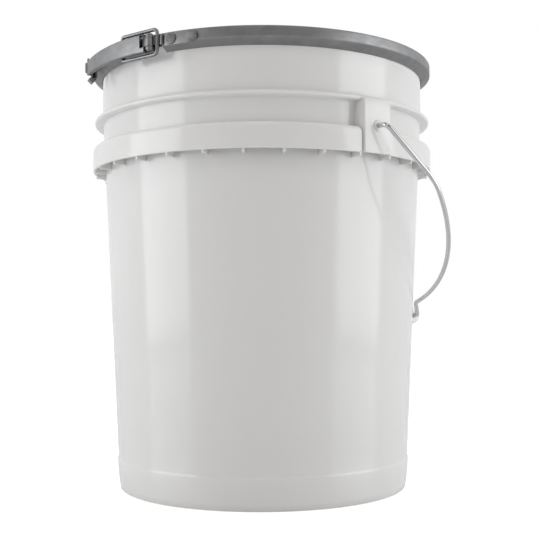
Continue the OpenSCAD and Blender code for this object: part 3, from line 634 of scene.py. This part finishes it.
def rivet(bm, a):
    """Rivet set along a radius of the pail, its broad head raised round a dished middle."""
    r0 = STRAP_R + STRAP_T
    steps = [(0.02, RIVET_R), (RIVET_T / 3, RIVET_R), (RIVET_T * 0.75, RIVET_R - 0.25),
             (RIVET_T - 0.05, RIVET_R - 0.6), (RIVET_T, RIVET_R - 0.85), (RIVET_T, DISH_R + 0.2),
             (RIVET_T - 0.1, DISH_R - 0.05), (RIVET_T - DISH_D * 0.7, DISH_R - DISH_D * 0.55),
             (RIVET_T - DISH_D * 0.95, DISH_R - DISH_D), (RIVET_T - DISH_D, DISH_R - DISH_D - 0.3),
             (RIVET_T - DISH_D, 0.8)]
    tube(bm, [at(a, r0 + d, RIVET_Z) for d, r in steps], [r for d, r in steps], 56)
    radial_rod(bm, a, RIVET_Z, RING_R - RING_T + 0.05, r0 + 0.3, SHANK_R, 24)


def make_rivets(name, directions):
    bm = bmesh.new()
    for a in directions:
        rivet(bm, a)
    return finish_mesh(name, bm, 50)


def arc_plate(bm, a0, a1, r0, r1, z0, z1, step=0.5, edge=STRAP_EDGE):
    """Adds a plate that follows the ring, with softened long edges."""
    revolve(bm, rounded(box_outline(r0, r1, z0, z1), edge, 2), angles(a0, a1, step))


def make_hook_bracket():
    """Round-ended strap with a lip and a rolled ridge, which cradle the link's bar."""
    lip = BAR_A - degrees_of(LINK_D / 2 + BAR_PLAY, BAR_R)
    lip_end = lip - degrees_of(HOOK_LIP_T, BAR_R)
    ridge_a = BAR_A + degrees_of(LINK_D / 2 + BAR_PLAY + RIDGE_R, BAR_R)
    centre, turn, cover = HOOK_RIVETS[1], degrees_of(STRAP_HALF, STRAP_R), 0.995
    outline = rounded(box_outline(STRAP_R, STRAP_R + STRAP_T, STRAP_Z0, STRAP_Z1), STRAP_EDGE, 2)
    fine = [centre + turn * math.cos(math.radians(t)) * cover for t in range(0, 91, 6)]

    def lift(a, r, z):
        """Draws the strap in to a half circle round its last rivet."""
        past = max(0.0, (a - centre) / turn)
        return r, RIVET_Z + (z - RIVET_Z) * math.sqrt(max(0.01, 1 - past * past))

    sections = angles(lip_end, centre + turn * cover, 0.5, fine)
    plate = made("hook_bracket", revolve, outline, sections, lift=lift, sharp=40)
    low, high = STRAP_Z0 + 1, STRAP_Z1 - 1
    lip_plate = made("hook_lip", arc_plate, lip_end, lip, STRAP_R + 0.3, HOOK_LIP_R, low, high, 0.25)
    p = at(ridge_a, STRAP_R + STRAP_T + 1.0)
    ridge = made("hook_ridge", tube, [(p.x, p.y, low), (p.x, p.y, high)], RIDGE_R, 32)
    return join([plate, soften(lip_plate, 0.3), soften(ridge, 0.25)])


def knuckle(bm, z0, z1, hole):
    """Rolled eye round the lever's pivot."""
    p = at(PIVOT_A, PIVOT_R)
    outline = rounded(box_outline(hole, BARREL_R, z0, z1), 0.2, 2)
    revolve(bm, outline, angles(0, 360, 10), centre=(p.x, p.y))


def make_hinge_bracket():
    """Strap with two rolled eyes, one above and one below the lever's own."""
    bm = bmesh.new()
    near = PIVOT_A + degrees_of(BARREL_R - 1, STRAP_R)
    arc_plate(bm, HINGE_END, near, STRAP_R, STRAP_R + STRAP_T, KNUCKLES[0], KNUCKLES[3])
    for z0, z1 in ((KNUCKLES[0], KNUCKLES[1] - KNUCKLE_PLAY), (KNUCKLES[2] + KNUCKLE_PLAY, KNUCKLES[3])):
        knuckle(bm, z0, z1, BARREL_BORE)
        web = rounded(box_outline(STRAP_R + 0.2, PIVOT_R - 1.3, z0 + 0.1, z1 - 0.1), 0.15, 1)
        block(bm, web, -BARREL_R + 0.05, 1.6, turn_about_axis(PIVOT_A))
    return finish_mesh("hinge_bracket", bm, 40)


def make_pin():
    """The hinge's pin, with a low round head at both ends."""
    p = at(PIVOT_A, PIVOT_R)
    z0, z1 = PIN[0].z / MM, PIN[1].z / MM
    head = ((0.0, 1.6), (0.15, 2.1), (0.3, 2.2), (0.7, 2.2), (0.7, 1.4))
    steps = [(z0 + d, r) for d, r in head] + [(z1 - d, r) for d, r in reversed(head)]
    return made("hinge_pin", tube, [(p.x, p.y, z) for z, r in steps], [r for z, r in steps], 28, sharp=40)


def lever_strap():
    """The lever's bent strap with both flanges, narrower and rounded off at its free end."""
    inside, flange = LEVER_R - LEVER_T, LEVER_R - LEVER_FLANGE
    z0, z1, t = LEVER_Z0, LEVER_Z1, LEVER_T
    outline = rounded([(flange, z0), (LEVER_R, z0), (LEVER_R, z1), (flange, z1), (flange, z1 - t),
                       (inside, z1 - t), (inside, z0 + t), (flange, z0 + t)],
                      [0.3, 1.2, 1.2, 0.3, 0.3, 0.4, 0.4, 0.3], 4)
    half, middle = (z1 - z0) / 2, (z0 + z1 - LEVER_TAPER) / 2

    def lift(a, r, z):
        """Narrows the strap from above towards its free end, and rounds off its last corners."""
        up = (z - z0) / (z1 - z0)
        z -= LEVER_TAPER * up * max(0.0, min(1.0, (LEVER_TAPER_A - a) / LEVER_TAPER_RUN))
        d = (a - LEVER_END) / degrees_of(LEVER_CORNER, LEVER_R)
        if d >= 1:
            return r, z
        return r, middle + (z - middle) * (half - LEVER_PINCH * (1 - quarter(d))) / half

    fine = [LEVER_END + d for d in corner_steps(LEVER_CORNER, LEVER_R)]
    sections = angles(LEVER_END, LEVER_ROOT, 0.75, fine)
    return made("lever_strap", revolve, outline, sections, lift=lift, sharp=40)


def lever_holes():
    """Cutters for the window beside the hinge and for the link's ends."""
    window = box_outline(LEVER_R - LEVER_T - 0.25, LEVER_R + 1, LEVER_Z0 + 3.7, LEVER_Z1 - 0.8)
    across = angles(WINDOW_A - WINDOW_TURN, WINDOW_A + WINDOW_TURN, 0.5)
    lug = at(LUG_A, LUG_R)
    through = [(lug.x, lug.y, z) for z in (LEVER_Z0 - 1, LEVER_Z1 + 1)]
    return [made("lever_window", revolve, window, across),
            made("link_holes", tube, through, LINK_D / 2 + LUG_PLAY, 40)]


def lever_lugs(bm):
    """The ringed holes in both flanges that hold the link's ends."""
    lug, hole, inside = at(LUG_A, LUG_R), LINK_D / 2 + LUG_PLAY, LEVER_R - LEVER_T
    width = degrees_of(LUG_HALF, LEVER_R)
    for low in (LEVER_Z0 + 0.05, LEVER_Z1 - LEVER_T + 0.05):
        high = low + LEVER_T - 0.1
        outline = rounded(box_outline(hole, LINK_D / 2 + LUG_RING, low, high), 0.2, 2)
        revolve(bm, outline, angles(0, 360, 10), centre=(lug.x, lug.y))
        root = LUG_R + LUG_REACH
        arc_plate(bm, LUG_A - width, LUG_A + width, root, inside + 0.5, low, high, 0.5, 0.1)


def make_lever():
    """Long strap bent to the ring, flanged along both edges, with lugs, a window and a rolled eye."""
    inside, z0, z1 = LEVER_R - LEVER_T, LEVER_Z0, LEVER_Z1
    eye0, eye1 = KNUCKLES[1] + KNUCKLE_PLAY, KNUCKLES[2] - KNUCKLE_PLAY
    tongue = inside + 0.1
    bm = bmesh.new()
    arc_plate(bm, LEVER_ROOT - 0.08, PIVOT_A, tongue, tongue + TONGUE_T, eye0, eye1, 0.25, 0.1)
    knuckle(bm, eye0, eye1, EYE_BORE)
    lever_lugs(bm)
    # rolled edge at the free end, and the little nib that stands up beside it
    tip = at(LEVER_END, LEVER_R - 0.3)
    tube(bm, [(tip.x, tip.y, z0 + d) for d in (2.9, 3.2, 11.0, 11.4)], [1.4, 1.7, 1.7, 1.4], 32)
    arc_plate(bm, LEVER_END + 0.5, LEVER_END + 1.2, inside + 0.1, LEVER_R - 0.1, z1 - 4, z1 + 0.5, 0.25, 0.3)
    # small pip raised by the punch beside the window
    pip = WINDOW_A - WINDOW_TURN - degrees_of(PIP_OFF, LEVER_R)
    tube(bm, [at(pip, LEVER_R - d, PIP_Z) for d in (0.6, 0.25, 0.08, 0.02)], [1.5, 1.4, 1.0, 0.4], 24)
    parts = finish_mesh("lever_parts", bm)
    strap = cut(lever_strap(), lever_holes())
    return join([soften(strap, 0.12, 1, 60), parts])


def make_link():
    """Round-wire loop: two rails, the bar in the hook, and two ends turned into the lever's lugs."""
    w, bend, inset = LINK_D / 2, 4.0, LEVER_T + 0.6
    z0, z1 = LINK[0].z / MM + w, LINK[1].z / MM - w
    q, bar = at(LUG_A, LUG_R), at(BAR_A, BAR_R)
    up = Vector((0, 0, 1))
    corners = [q + up * (LEVER_Z0 + inset), q + up * z0, bar + up * z0,
               bar + up * z1, q + up * z1, q + up * (LEVER_Z1 - inset)]
    path = bent_path(corners, [w + 0.5, bend, bend, w + 0.5])
    return made("link_wire", tube, path, w - LINK_INSET, 24, sharp=50)


def make_hasp():
    """Strap with a folded eye that hangs out below the lever's end, its slot open to one side."""
    half = degrees_of(HASP_W / 2, STRAP_R)
    eye_half = degrees_of(HASP_EYE / 2, STRAP_R)
    low, face = HASP[0].z / MM, STRAP_R + STRAP_T
    plate = made("hasp_plate", arc_plate, HASP_A - half, HASP_A + half, STRAP_R, face, low + 5.2, STRAP_Z1,
                 sharp=40)
    top, root = RIVET_Z - 6.0, STRAP_R + 0.3
    # the folded eye's section, from its root out under the lever, round its tip and back in
    corners = [(root, top), (159.4, top), (159.6, LEVER_Z0 - 0.8), (162.6, low + 3.4),
               (158.9, low), (156.0, low + 3.0), (root, low + 4.2)]
    outline = rounded(corners, [0, 0.3, 0.3, 0.5, 0.5, 0.4, 0])
    eye = made("hasp_eye", revolve, outline, angles(HASP_A - eye_half, HASP_A + eye_half, 0.5))
    slot_r, slot_z = face + 0.3, low + 4.8
    slot_a = HASP_A + eye_half - degrees_of(HASP_SLOT, STRAP_R)
    slot = box_outline(slot_r, slot_r + 2.4, slot_z, slot_z + 4.7)
    cut(eye, [made("hasp_slot", revolve, slot, angles(slot_a, HASP_A + eye_half + 1, 0.5))])
    return join([plate, soften(eye, 0.15)])


# ------------------------ materials

# where a colour mix node keeps its sockets
MIX_FACTOR, MIX_A, MIX_B, MIX_COLOUR = 0, 6, 7, 2


def new_node(tree, kind, **values):
    """Adds a node to a tree and sets its own properties."""
    node = tree.nodes.new(kind)
    for key, value in values.items():
        setattr(node, key, value)
    return node


def fill(node, **values):
    """Sets numbers and colours on a node's sockets. Underscores stand for spaces."""
    for key, value in values.items():
        node.inputs[key.replace("_", " ")].default_value = value


def scaled(colour, share):
    """A colour made darker or lighter, kept within what a surface may reflect."""
    return tuple(min(1.0, c * share) for c in colour)


class Nodes:
    """A short way to write a material's node tree."""

    def __init__(self, name):
        self.material = bpy.data.materials.new(name)
        self.material.use_nodes = True
        self.tree = self.material.node_tree
        self.shader = self.tree.nodes["Principled BSDF"]
        self.place = self.add("ShaderNodeTexCoord").outputs["Object"]

    def add(self, kind, **values):
        return new_node(self.tree, kind, **values)

    def link(self, source, target):
        self.tree.links.new(source, target)

    def set(self, **values):
        fill(self.shader, **values)

    def stretch(self, scale):
        """Object coordinates scaled along each axis."""
        node = self.add("ShaderNodeMapping")
        fill(node, Scale=scale)
        self.link(self.place, node.inputs["Vector"])
        return node.outputs["Vector"]

    def noise(self, scale, detail=3.0, rough=0.5, vector=None, distortion=0.0):
        node = self.add("ShaderNodeTexNoise")
        fill(node, Scale=scale, Detail=detail, Roughness=rough, Distortion=distortion)
        self.link(vector or self.place, node.inputs["Vector"])
        return node.outputs["Fac"]

    def ramp(self, source, *stops):
        """Colour ramp with (position, colour) stops."""
        node = self.add("ShaderNodeValToRGB")
        ramp = node.color_ramp
        while len(ramp.elements) < len(stops):
            ramp.elements.new(0.5)
        for element, (position, colour) in zip(ramp.elements, stops):
            element.position = position
            element.color = (*colour, 1.0)
        self.link(source, node.inputs["Fac"])
        return node.outputs["Color"]

    def crevice(self, reach):
        """1 on open faces, falling towards 0 deep between close ones: the mask for painted shade in
        crevices.
        """
        node = self.add("ShaderNodeAmbientOcclusion", samples=8)
        fill(node, Distance=reach)
        return node.outputs["AO"]

    def span(self, source, low, high, a=0.0, b=1.0):
        """Maps a value from a..b to low..high."""
        node = self.add("ShaderNodeMapRange")
        fill(node, From_Min=a, From_Max=b, To_Min=low, To_Max=high)
        self.link(source, node.inputs["Value"])
        return node.outputs["Result"]

    def mix(self, factor, a, b):
        node = self.add("ShaderNodeMix", data_type="RGBA")
        sockets = (node.inputs[MIX_FACTOR], node.inputs[MIX_A], node.inputs[MIX_B])
        for socket, value in zip(sockets, (factor, a, b)):
            if isinstance(value, bpy.types.NodeSocket):
                self.link(value, socket)
            else:
                socket.default_value = value if isinstance(value, float) else (*value, 1.0)
        return node.outputs[MIX_COLOUR]

    def bump(self, height, strength, distance, normal=None):
        node = self.add("ShaderNodeBump")
        fill(node, Strength=strength, Distance=distance)
        self.link(height, node.inputs["Height"])
        if normal is not None:
            self.link(normal, node.inputs["Normal"])
        return node.outputs["Normal"]


def plastic(name, light, dark, seed):
    """White polyethylene: soft gloss, faint flow clouds, hairline scuffs and a little wear."""
    m = Nodes(name)
    cloud = m.noise(9.0 + seed, 4.0, 0.55, m.stretch((1.0, 1.0, 0.35)))
    scuffs = m.noise(46.0, 6.0, 0.75, m.stretch((1.0, 1.0, 0.12)), distortion=1.5)
    m.link(m.ramp(cloud, (0.3, dark), (0.7, light)), m.shader.inputs["Base Color"])
    m.link(m.span(scuffs, 0.10, 0.19, 0.35, 0.75), m.shader.inputs["Roughness"])
    m.set(IOR=1.5, Subsurface_Weight=0.25, Subsurface_Radius=(1.0, 0.95, 0.9), Subsurface_Scale=0.004)
    wave = m.bump(m.noise(14.0, 2.0, 0.5, m.stretch((1.0, 1.0, 0.5))), 0.07, 0.0010)
    grain = m.bump(m.noise(160.0, 2.0, 0.5), 0.05, 0.0002, wave)
    m.link(m.bump(scuffs, 0.05, 0.0002, grain), m.shader.inputs["Normal"])
    return m.material


def zinc(name, base, spread, rough, grain_scale=120.0):
    """Zinc-coated sheet: soft spangle, fine grain, rubbed marks, dull patches and painted shade darkening
    the gaps.
    """
    m = Nodes(name)
    cells = m.add("ShaderNodeTexVoronoi")
    fill(cells, Scale=grain_scale)
    m.link(m.place, cells.inputs["Vector"])
    grey = m.add("ShaderNodeSeparateColor")
    m.link(cells.outputs["Color"], grey.inputs["Color"])
    spangle = m.ramp(grey.outputs["Red"], (0.0, scaled(base, 1 - spread)), (1.0, scaled(base, 1 + spread)))
    dull = m.ramp(m.noise(38.0, 4.0, 0.6), (0.35, scaled(base, 0.82)), (0.7, scaled(base, 1.1)))
    # painted shade: the base colour is darkened to a quarter deep in crevices and between close parts, where
    # shade falls
    painted_shade = m.span(m.crevice(0.006), 0.25, 1.0, 0.25, 0.75)
    clean = m.mix(0.5, spangle, dull)
    m.link(m.mix(painted_shade, scaled(base, 0.25), clean), m.shader.inputs["Base Color"])
    rub = m.noise(90.0, 5.0, 0.7, m.stretch((1.0, 1.0, 6.0)))
    m.link(m.span(rub, rough - 0.08, rough + 0.12, 0.3, 0.7), m.shader.inputs["Roughness"])
    m.set(Metallic=1.0)
    fine = m.bump(m.noise(900.0, 2.0, 0.5), 0.15, 0.0001)
    m.link(m.bump(rub, 0.12, 0.0002, fine), m.shader.inputs["Normal"])
    return m.material


def drawn_wire(name, base, rough):
    """Bright drawn wire with faint draw marks and duller patches."""
    m = Nodes(name)
    marks = m.noise(300.0, 3.0, 0.6)
    patch = m.noise(25.0, 3.0, 0.5)
    m.link(m.ramp(patch, (0.3, scaled(base, 0.88)), (0.7, base)), m.shader.inputs["Base Color"])
    m.link(m.span(marks, rough, rough + 0.12, 0.35, 0.7), m.shader.inputs["Roughness"])
    m.set(Metallic=1.0)
    m.link(m.bump(marks, 0.08, 0.0001), m.shader.inputs["Normal"])
    return m.material


def rubber(name):
    """Black rubber with a fine dull speckle."""
    m = Nodes(name)
    dark, light = (0.018, 0.018, 0.019), (0.045, 0.045, 0.046)
    speck = m.noise(400.0, 3.0, 0.6)
    m.link(m.ramp(speck, (0.3, dark), (0.8, light)), m.shader.inputs["Base Color"])
    m.link(m.span(speck, 0.55, 0.75), m.shader.inputs["Roughness"])
    m.link(m.bump(speck, 0.25, 0.0002), m.shader.inputs["Normal"])
    return m.material


# ------------------------ assembly

def put(obj, body, slot, material, *nodes):
    """Gives a finished piece its material and its body, and hides the CAD nodes it stands for. The slot is
    not used.
    """
    obj.data.materials.clear()
    obj.data.materials.append(material)
    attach(obj, body)
    if nodes:
        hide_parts(*nodes)
    return obj


def build():
    pail = plastic("pail_plastic", (0.835, 0.835, 0.827), (0.81, 0.81, 0.802), seed=0.0)
    lid_white = plastic("lid_plastic", (0.87, 0.87, 0.865), (0.845, 0.845, 0.838), seed=2.0)
    sheet = zinc("galvanised_steel", (0.30, 0.302, 0.307), spread=0.12, rough=0.48)
    tarnished = zinc("rivet_steel", (0.25, 0.247, 0.243), spread=0.16, rough=0.40, grain_scale=260.0)
    link = zinc("link_steel", (0.25, 0.253, 0.256), spread=0.08, rough=0.36, grain_scale=300.0)
    bright = drawn_wire("bail_steel", (0.70, 0.705, 0.71), rough=0.06)
    black = rubber("rubber")

    gap = math.degrees(math.asin((EAR_W / 2 + EAR_GROOVE) / SKIRT_R))
    moulded = [make_pail_wall(),
               make_skirt("pail_skirt_latch_side", 180 + gap, 360 - gap),
               make_skirt("pail_skirt_bail_side", gap, 180 - gap),
               make_gussets(),
               make_ear("pail_ear_right", 0),
               make_ear("pail_ear_left", 180)]
    for piece in moulded:
        put(piece, "pail", "pail_plastic", pail, "pail_body")
    put(make_bail(), "bail", "bail_steel", bright, "bail_wire")
    put(make_grip(), "grip", "grip_plastic", pail, "bail_grip")
    put(make_lid(), "lid", "lid_plastic", lid_white, "lid")
    put(make_lid_ribs(), "lid", "lid_plastic", lid_white, "lid")
    put(make_gasket(), "lid", "rubber", black, "lid_gasket")
    put(make_grommet(), "lid", "rubber", black, "airlock_grommet")
    put(make_band(), "lock_ring", "galvanised_steel", sheet, "lock_ring_band")
    put(make_hook_bracket(), "lock_ring", "galvanised_steel", sheet, "right_hook_bracket")
    hook_rivets = make_rivets("hook_rivets", HOOK_RIVETS)
    put(hook_rivets, "lock_ring", "rivet_steel", tarnished, "right_bracket_rivets")
    put(make_hinge_bracket(), "lock_ring", "galvanised_steel", sheet, "left_hinge_bracket")
    hinge_rivets = make_rivets("hinge_rivets", HINGE_RIVETS)
    put(hinge_rivets, "lock_ring", "rivet_steel", tarnished, "left_bracket_rivets")
    put(make_pin(), "lock_ring", "rivet_steel", tarnished, "lever_pin")
    put(make_hasp(), "lock_ring", "galvanised_steel", sheet, "seal_hasp")
    put(make_rivets("hasp_rivet", (HASP_A,)), "lock_ring", "rivet_steel", tarnished, "seal_hasp_rivet")
    put(make_lever(), "lever", "galvanised_steel", sheet, "lever")
    put(make_link(), "link", "link_steel", link, "link_loop")


# ------------------------ stage, light and camera

# camera, in degrees and metres
VIEW_A = 53.5
CAMERA_D, CAMERA_H, LENS, SENSOR = 0.8714, 0.158, 62.58, 36.0
YAW, PITCH, ROLL = 0.459, 2.452, -0.216
# studio: how far the dim front reaches to each side, then the two side boxes, in degrees and metres
FRONT_HALF, FRONT_OUTER_BLUR, FRONT_INNER_BLUR = 51.5, 8, 6
BOX_FAR, BOX_DISTANCE, BOX_HEIGHT, BOX_FOOT = 90.0, 1.3, 0.74, 0.02
TOP_DISTANCE, TOP_HEIGHT, TOP_SIZE, TOP_AIM = 1.5, 1.85, 0.5, (0, 0, 0.3)
BOX_LIGHT, TOP_LIGHT = 2.15, 4.5
BOX_COLOUR, TOP_COLOUR = (0.99, 1.0, 1.01), (1.0, 0.98, 0.95)
FRONT_LIGHT, SIDE_LIGHT, WHITE = (0.33, 0.315, 0.298), (0.82, 0.82, 0.83), (1.0, 1.0, 1.0)
FLOOR_R, FLOOR_DROP, FLOOR_LIFT, FLOOR_GLOSS, FLOOR_ROUGH = 12.0, 0.0003, 0.6, 0.8, 0.12
FLOOR_DARK, FLOOR_LIGHT = (0.80, 0.80, 0.80), (0.82, 0.82, 0.82)


def out_from_axis(turn, distance, height):
    """A point by its turn from the camera's side, to the camera's right, and its distance and height."""
    a = math.radians(VIEW_A + turn)
    return Vector((distance * math.sin(a), -distance * math.cos(a), height))


def make_floor():
    """White floor, lifted a little for the camera so that it runs into the white surroundings."""
    bm = bmesh.new()
    bmesh.ops.create_circle(bm, cap_ends=True, segments=96, radius=FLOOR_R)
    mesh = bpy.data.meshes.new("floor")
    bm.to_mesh(mesh)
    bm.free()
    floor = new_object("floor", mesh)
    floor.location.z = -FLOOR_DROP
    m = Nodes("floor_white")
    cloud = m.ramp(m.noise(1.2, 2.0), (0.3, FLOOR_DARK), (0.7, FLOOR_LIGHT))
    m.link(cloud, m.shader.inputs["Base Color"])
    m.set(Roughness=FLOOR_ROUGH, Emission_Color=(*WHITE, 1.0))
    seen = m.add("ShaderNodeLightPath").outputs["Is Camera Ray"]
    m.link(m.span(seen, FLOOR_GLOSS, 0.0), m.shader.inputs["Specular IOR Level"])
    m.link(m.span(seen, 0.0, FLOOR_LIFT), m.shader.inputs["Emission Strength"])
    mesh.materials.append(m.material)


def make_light(name, place, aim, size, radiance, colour):
    """Rectangular soft light of a given brightness, itself out of the camera's sight."""
    data = bpy.data.lights.new(name, "AREA")
    data.shape = "RECTANGLE"
    data.size, data.size_y = size
    data.energy = radiance * math.pi * size[0] * size[1]
    data.color = colour
    lamp = bpy.data.objects.new(name, data)
    bpy.context.scene.collection.objects.link(lamp)
    lamp.location = place
    lamp.rotation_euler = (Vector(aim) - Vector(place)).to_track_quat("-Z", "Y").to_euler()
    lamp.visible_camera = False


def make_world():
    """White surroundings that are dimmer and a little warm on the side that the camera stands on."""
    world = bpy.data.worlds.new("studio")
    bpy.context.scene.world = world
    world.use_nodes = True
    tree = world.node_tree
    back = tree.nodes["Background"]
    place = new_node(tree, "ShaderNodeTexCoord").outputs["Generated"]
    flat = new_node(tree, "ShaderNodeVectorMath", operation="MULTIPLY")
    flat.inputs[1].default_value = (1.0, 1.0, 0.0)
    unit = new_node(tree, "ShaderNodeVectorMath", operation="NORMALIZE")
    towards = new_node(tree, "ShaderNodeVectorMath", operation="DOT_PRODUCT")
    towards.inputs[1].default_value = out_from_axis(0, 1.0, 0.0)
    front = new_node(tree, "ShaderNodeMapRange", interpolation_type="SMOOTHSTEP")
    fill(front, From_Min=math.cos(math.radians(FRONT_HALF + FRONT_OUTER_BLUR)),
         From_Max=math.cos(math.radians(FRONT_HALF - FRONT_INNER_BLUR)))
    shade = new_node(tree, "ShaderNodeMix", data_type="RGBA")
    shade.inputs[MIX_A].default_value = (*SIDE_LIGHT, 1.0)
    shade.inputs[MIX_B].default_value = (*FRONT_LIGHT, 1.0)
    seen = new_node(tree, "ShaderNodeLightPath").outputs["Is Camera Ray"]
    white = new_node(tree, "ShaderNodeMix", data_type="RGBA")
    white.inputs[MIX_B].default_value = (*WHITE, 1.0)
    for source, target in ((place, flat.inputs[0]), (flat.outputs[0], unit.inputs[0]),
                           (unit.outputs[0], towards.inputs[0]),
                           (towards.outputs["Value"], front.inputs["Value"]),
                           (front.outputs["Result"], shade.inputs[MIX_FACTOR]),
                           (shade.outputs[MIX_COLOUR], white.inputs[MIX_A]),
                           (seen, white.inputs[MIX_FACTOR]),
                           (white.outputs[MIX_COLOUR], back.inputs["Color"])):
        tree.links.new(source, target)


def make_camera():
    """Looks at the pail's axis from one side, then turned a little as the photo's camera was."""
    data = bpy.data.cameras.new("camera")
    data.lens = LENS
    data.sensor_width = SENSOR
    cam = bpy.data.objects.new("camera", data)
    bpy.context.scene.collection.objects.link(cam)
    place = out_from_axis(0, CAMERA_D, CAMERA_H)
    forward = Vector((-place.x, -place.y, 0)).normalized()
    look = Matrix.Rotation(math.radians(-YAW), 3, "Z") @ forward
    side = look.cross(Vector((0, 0, 1))).normalized()
    look = Matrix.Rotation(math.radians(PITCH), 3, side) @ look
    upright = side.cross(look).normalized()
    turn = Matrix((side, upright, -look)).transposed()
    turn = turn @ Matrix.Rotation(math.radians(ROLL), 3, "Z")
    cam.matrix_world = Matrix.Translation(place) @ turn.to_4x4()
    bpy.context.scene.camera = cam


def make_lights():
    """Two tall soft boxes, whose inner edges make the sharp bands on the wall, and one above."""
    middle = (FRONT_HALF + BOX_FAR) / 2
    half = math.radians((BOX_FAR - FRONT_HALF) / 2)
    width = 2 * BOX_DISTANCE * math.sin(half)
    for name, turn in (("left_box", -middle), ("right_box", middle)):
        place = out_from_axis(turn, BOX_DISTANCE * math.cos(half), BOX_HEIGHT / 2 + BOX_FOOT)
        aim = (0.0, 0.0, place.z)
        make_light(name, place, aim, (width, BOX_HEIGHT), BOX_LIGHT, BOX_COLOUR)
    above = out_from_axis(0, TOP_DISTANCE, TOP_HEIGHT)
    make_light("front_top", above, TOP_AIM, (TOP_SIZE, TOP_SIZE), TOP_LIGHT, TOP_COLOUR)


def make_stage():
    make_camera()
    make_floor()
    make_world()
    make_lights()
    bpy.context.scene.view_settings.view_transform = "Standard"


build()
make_stage()
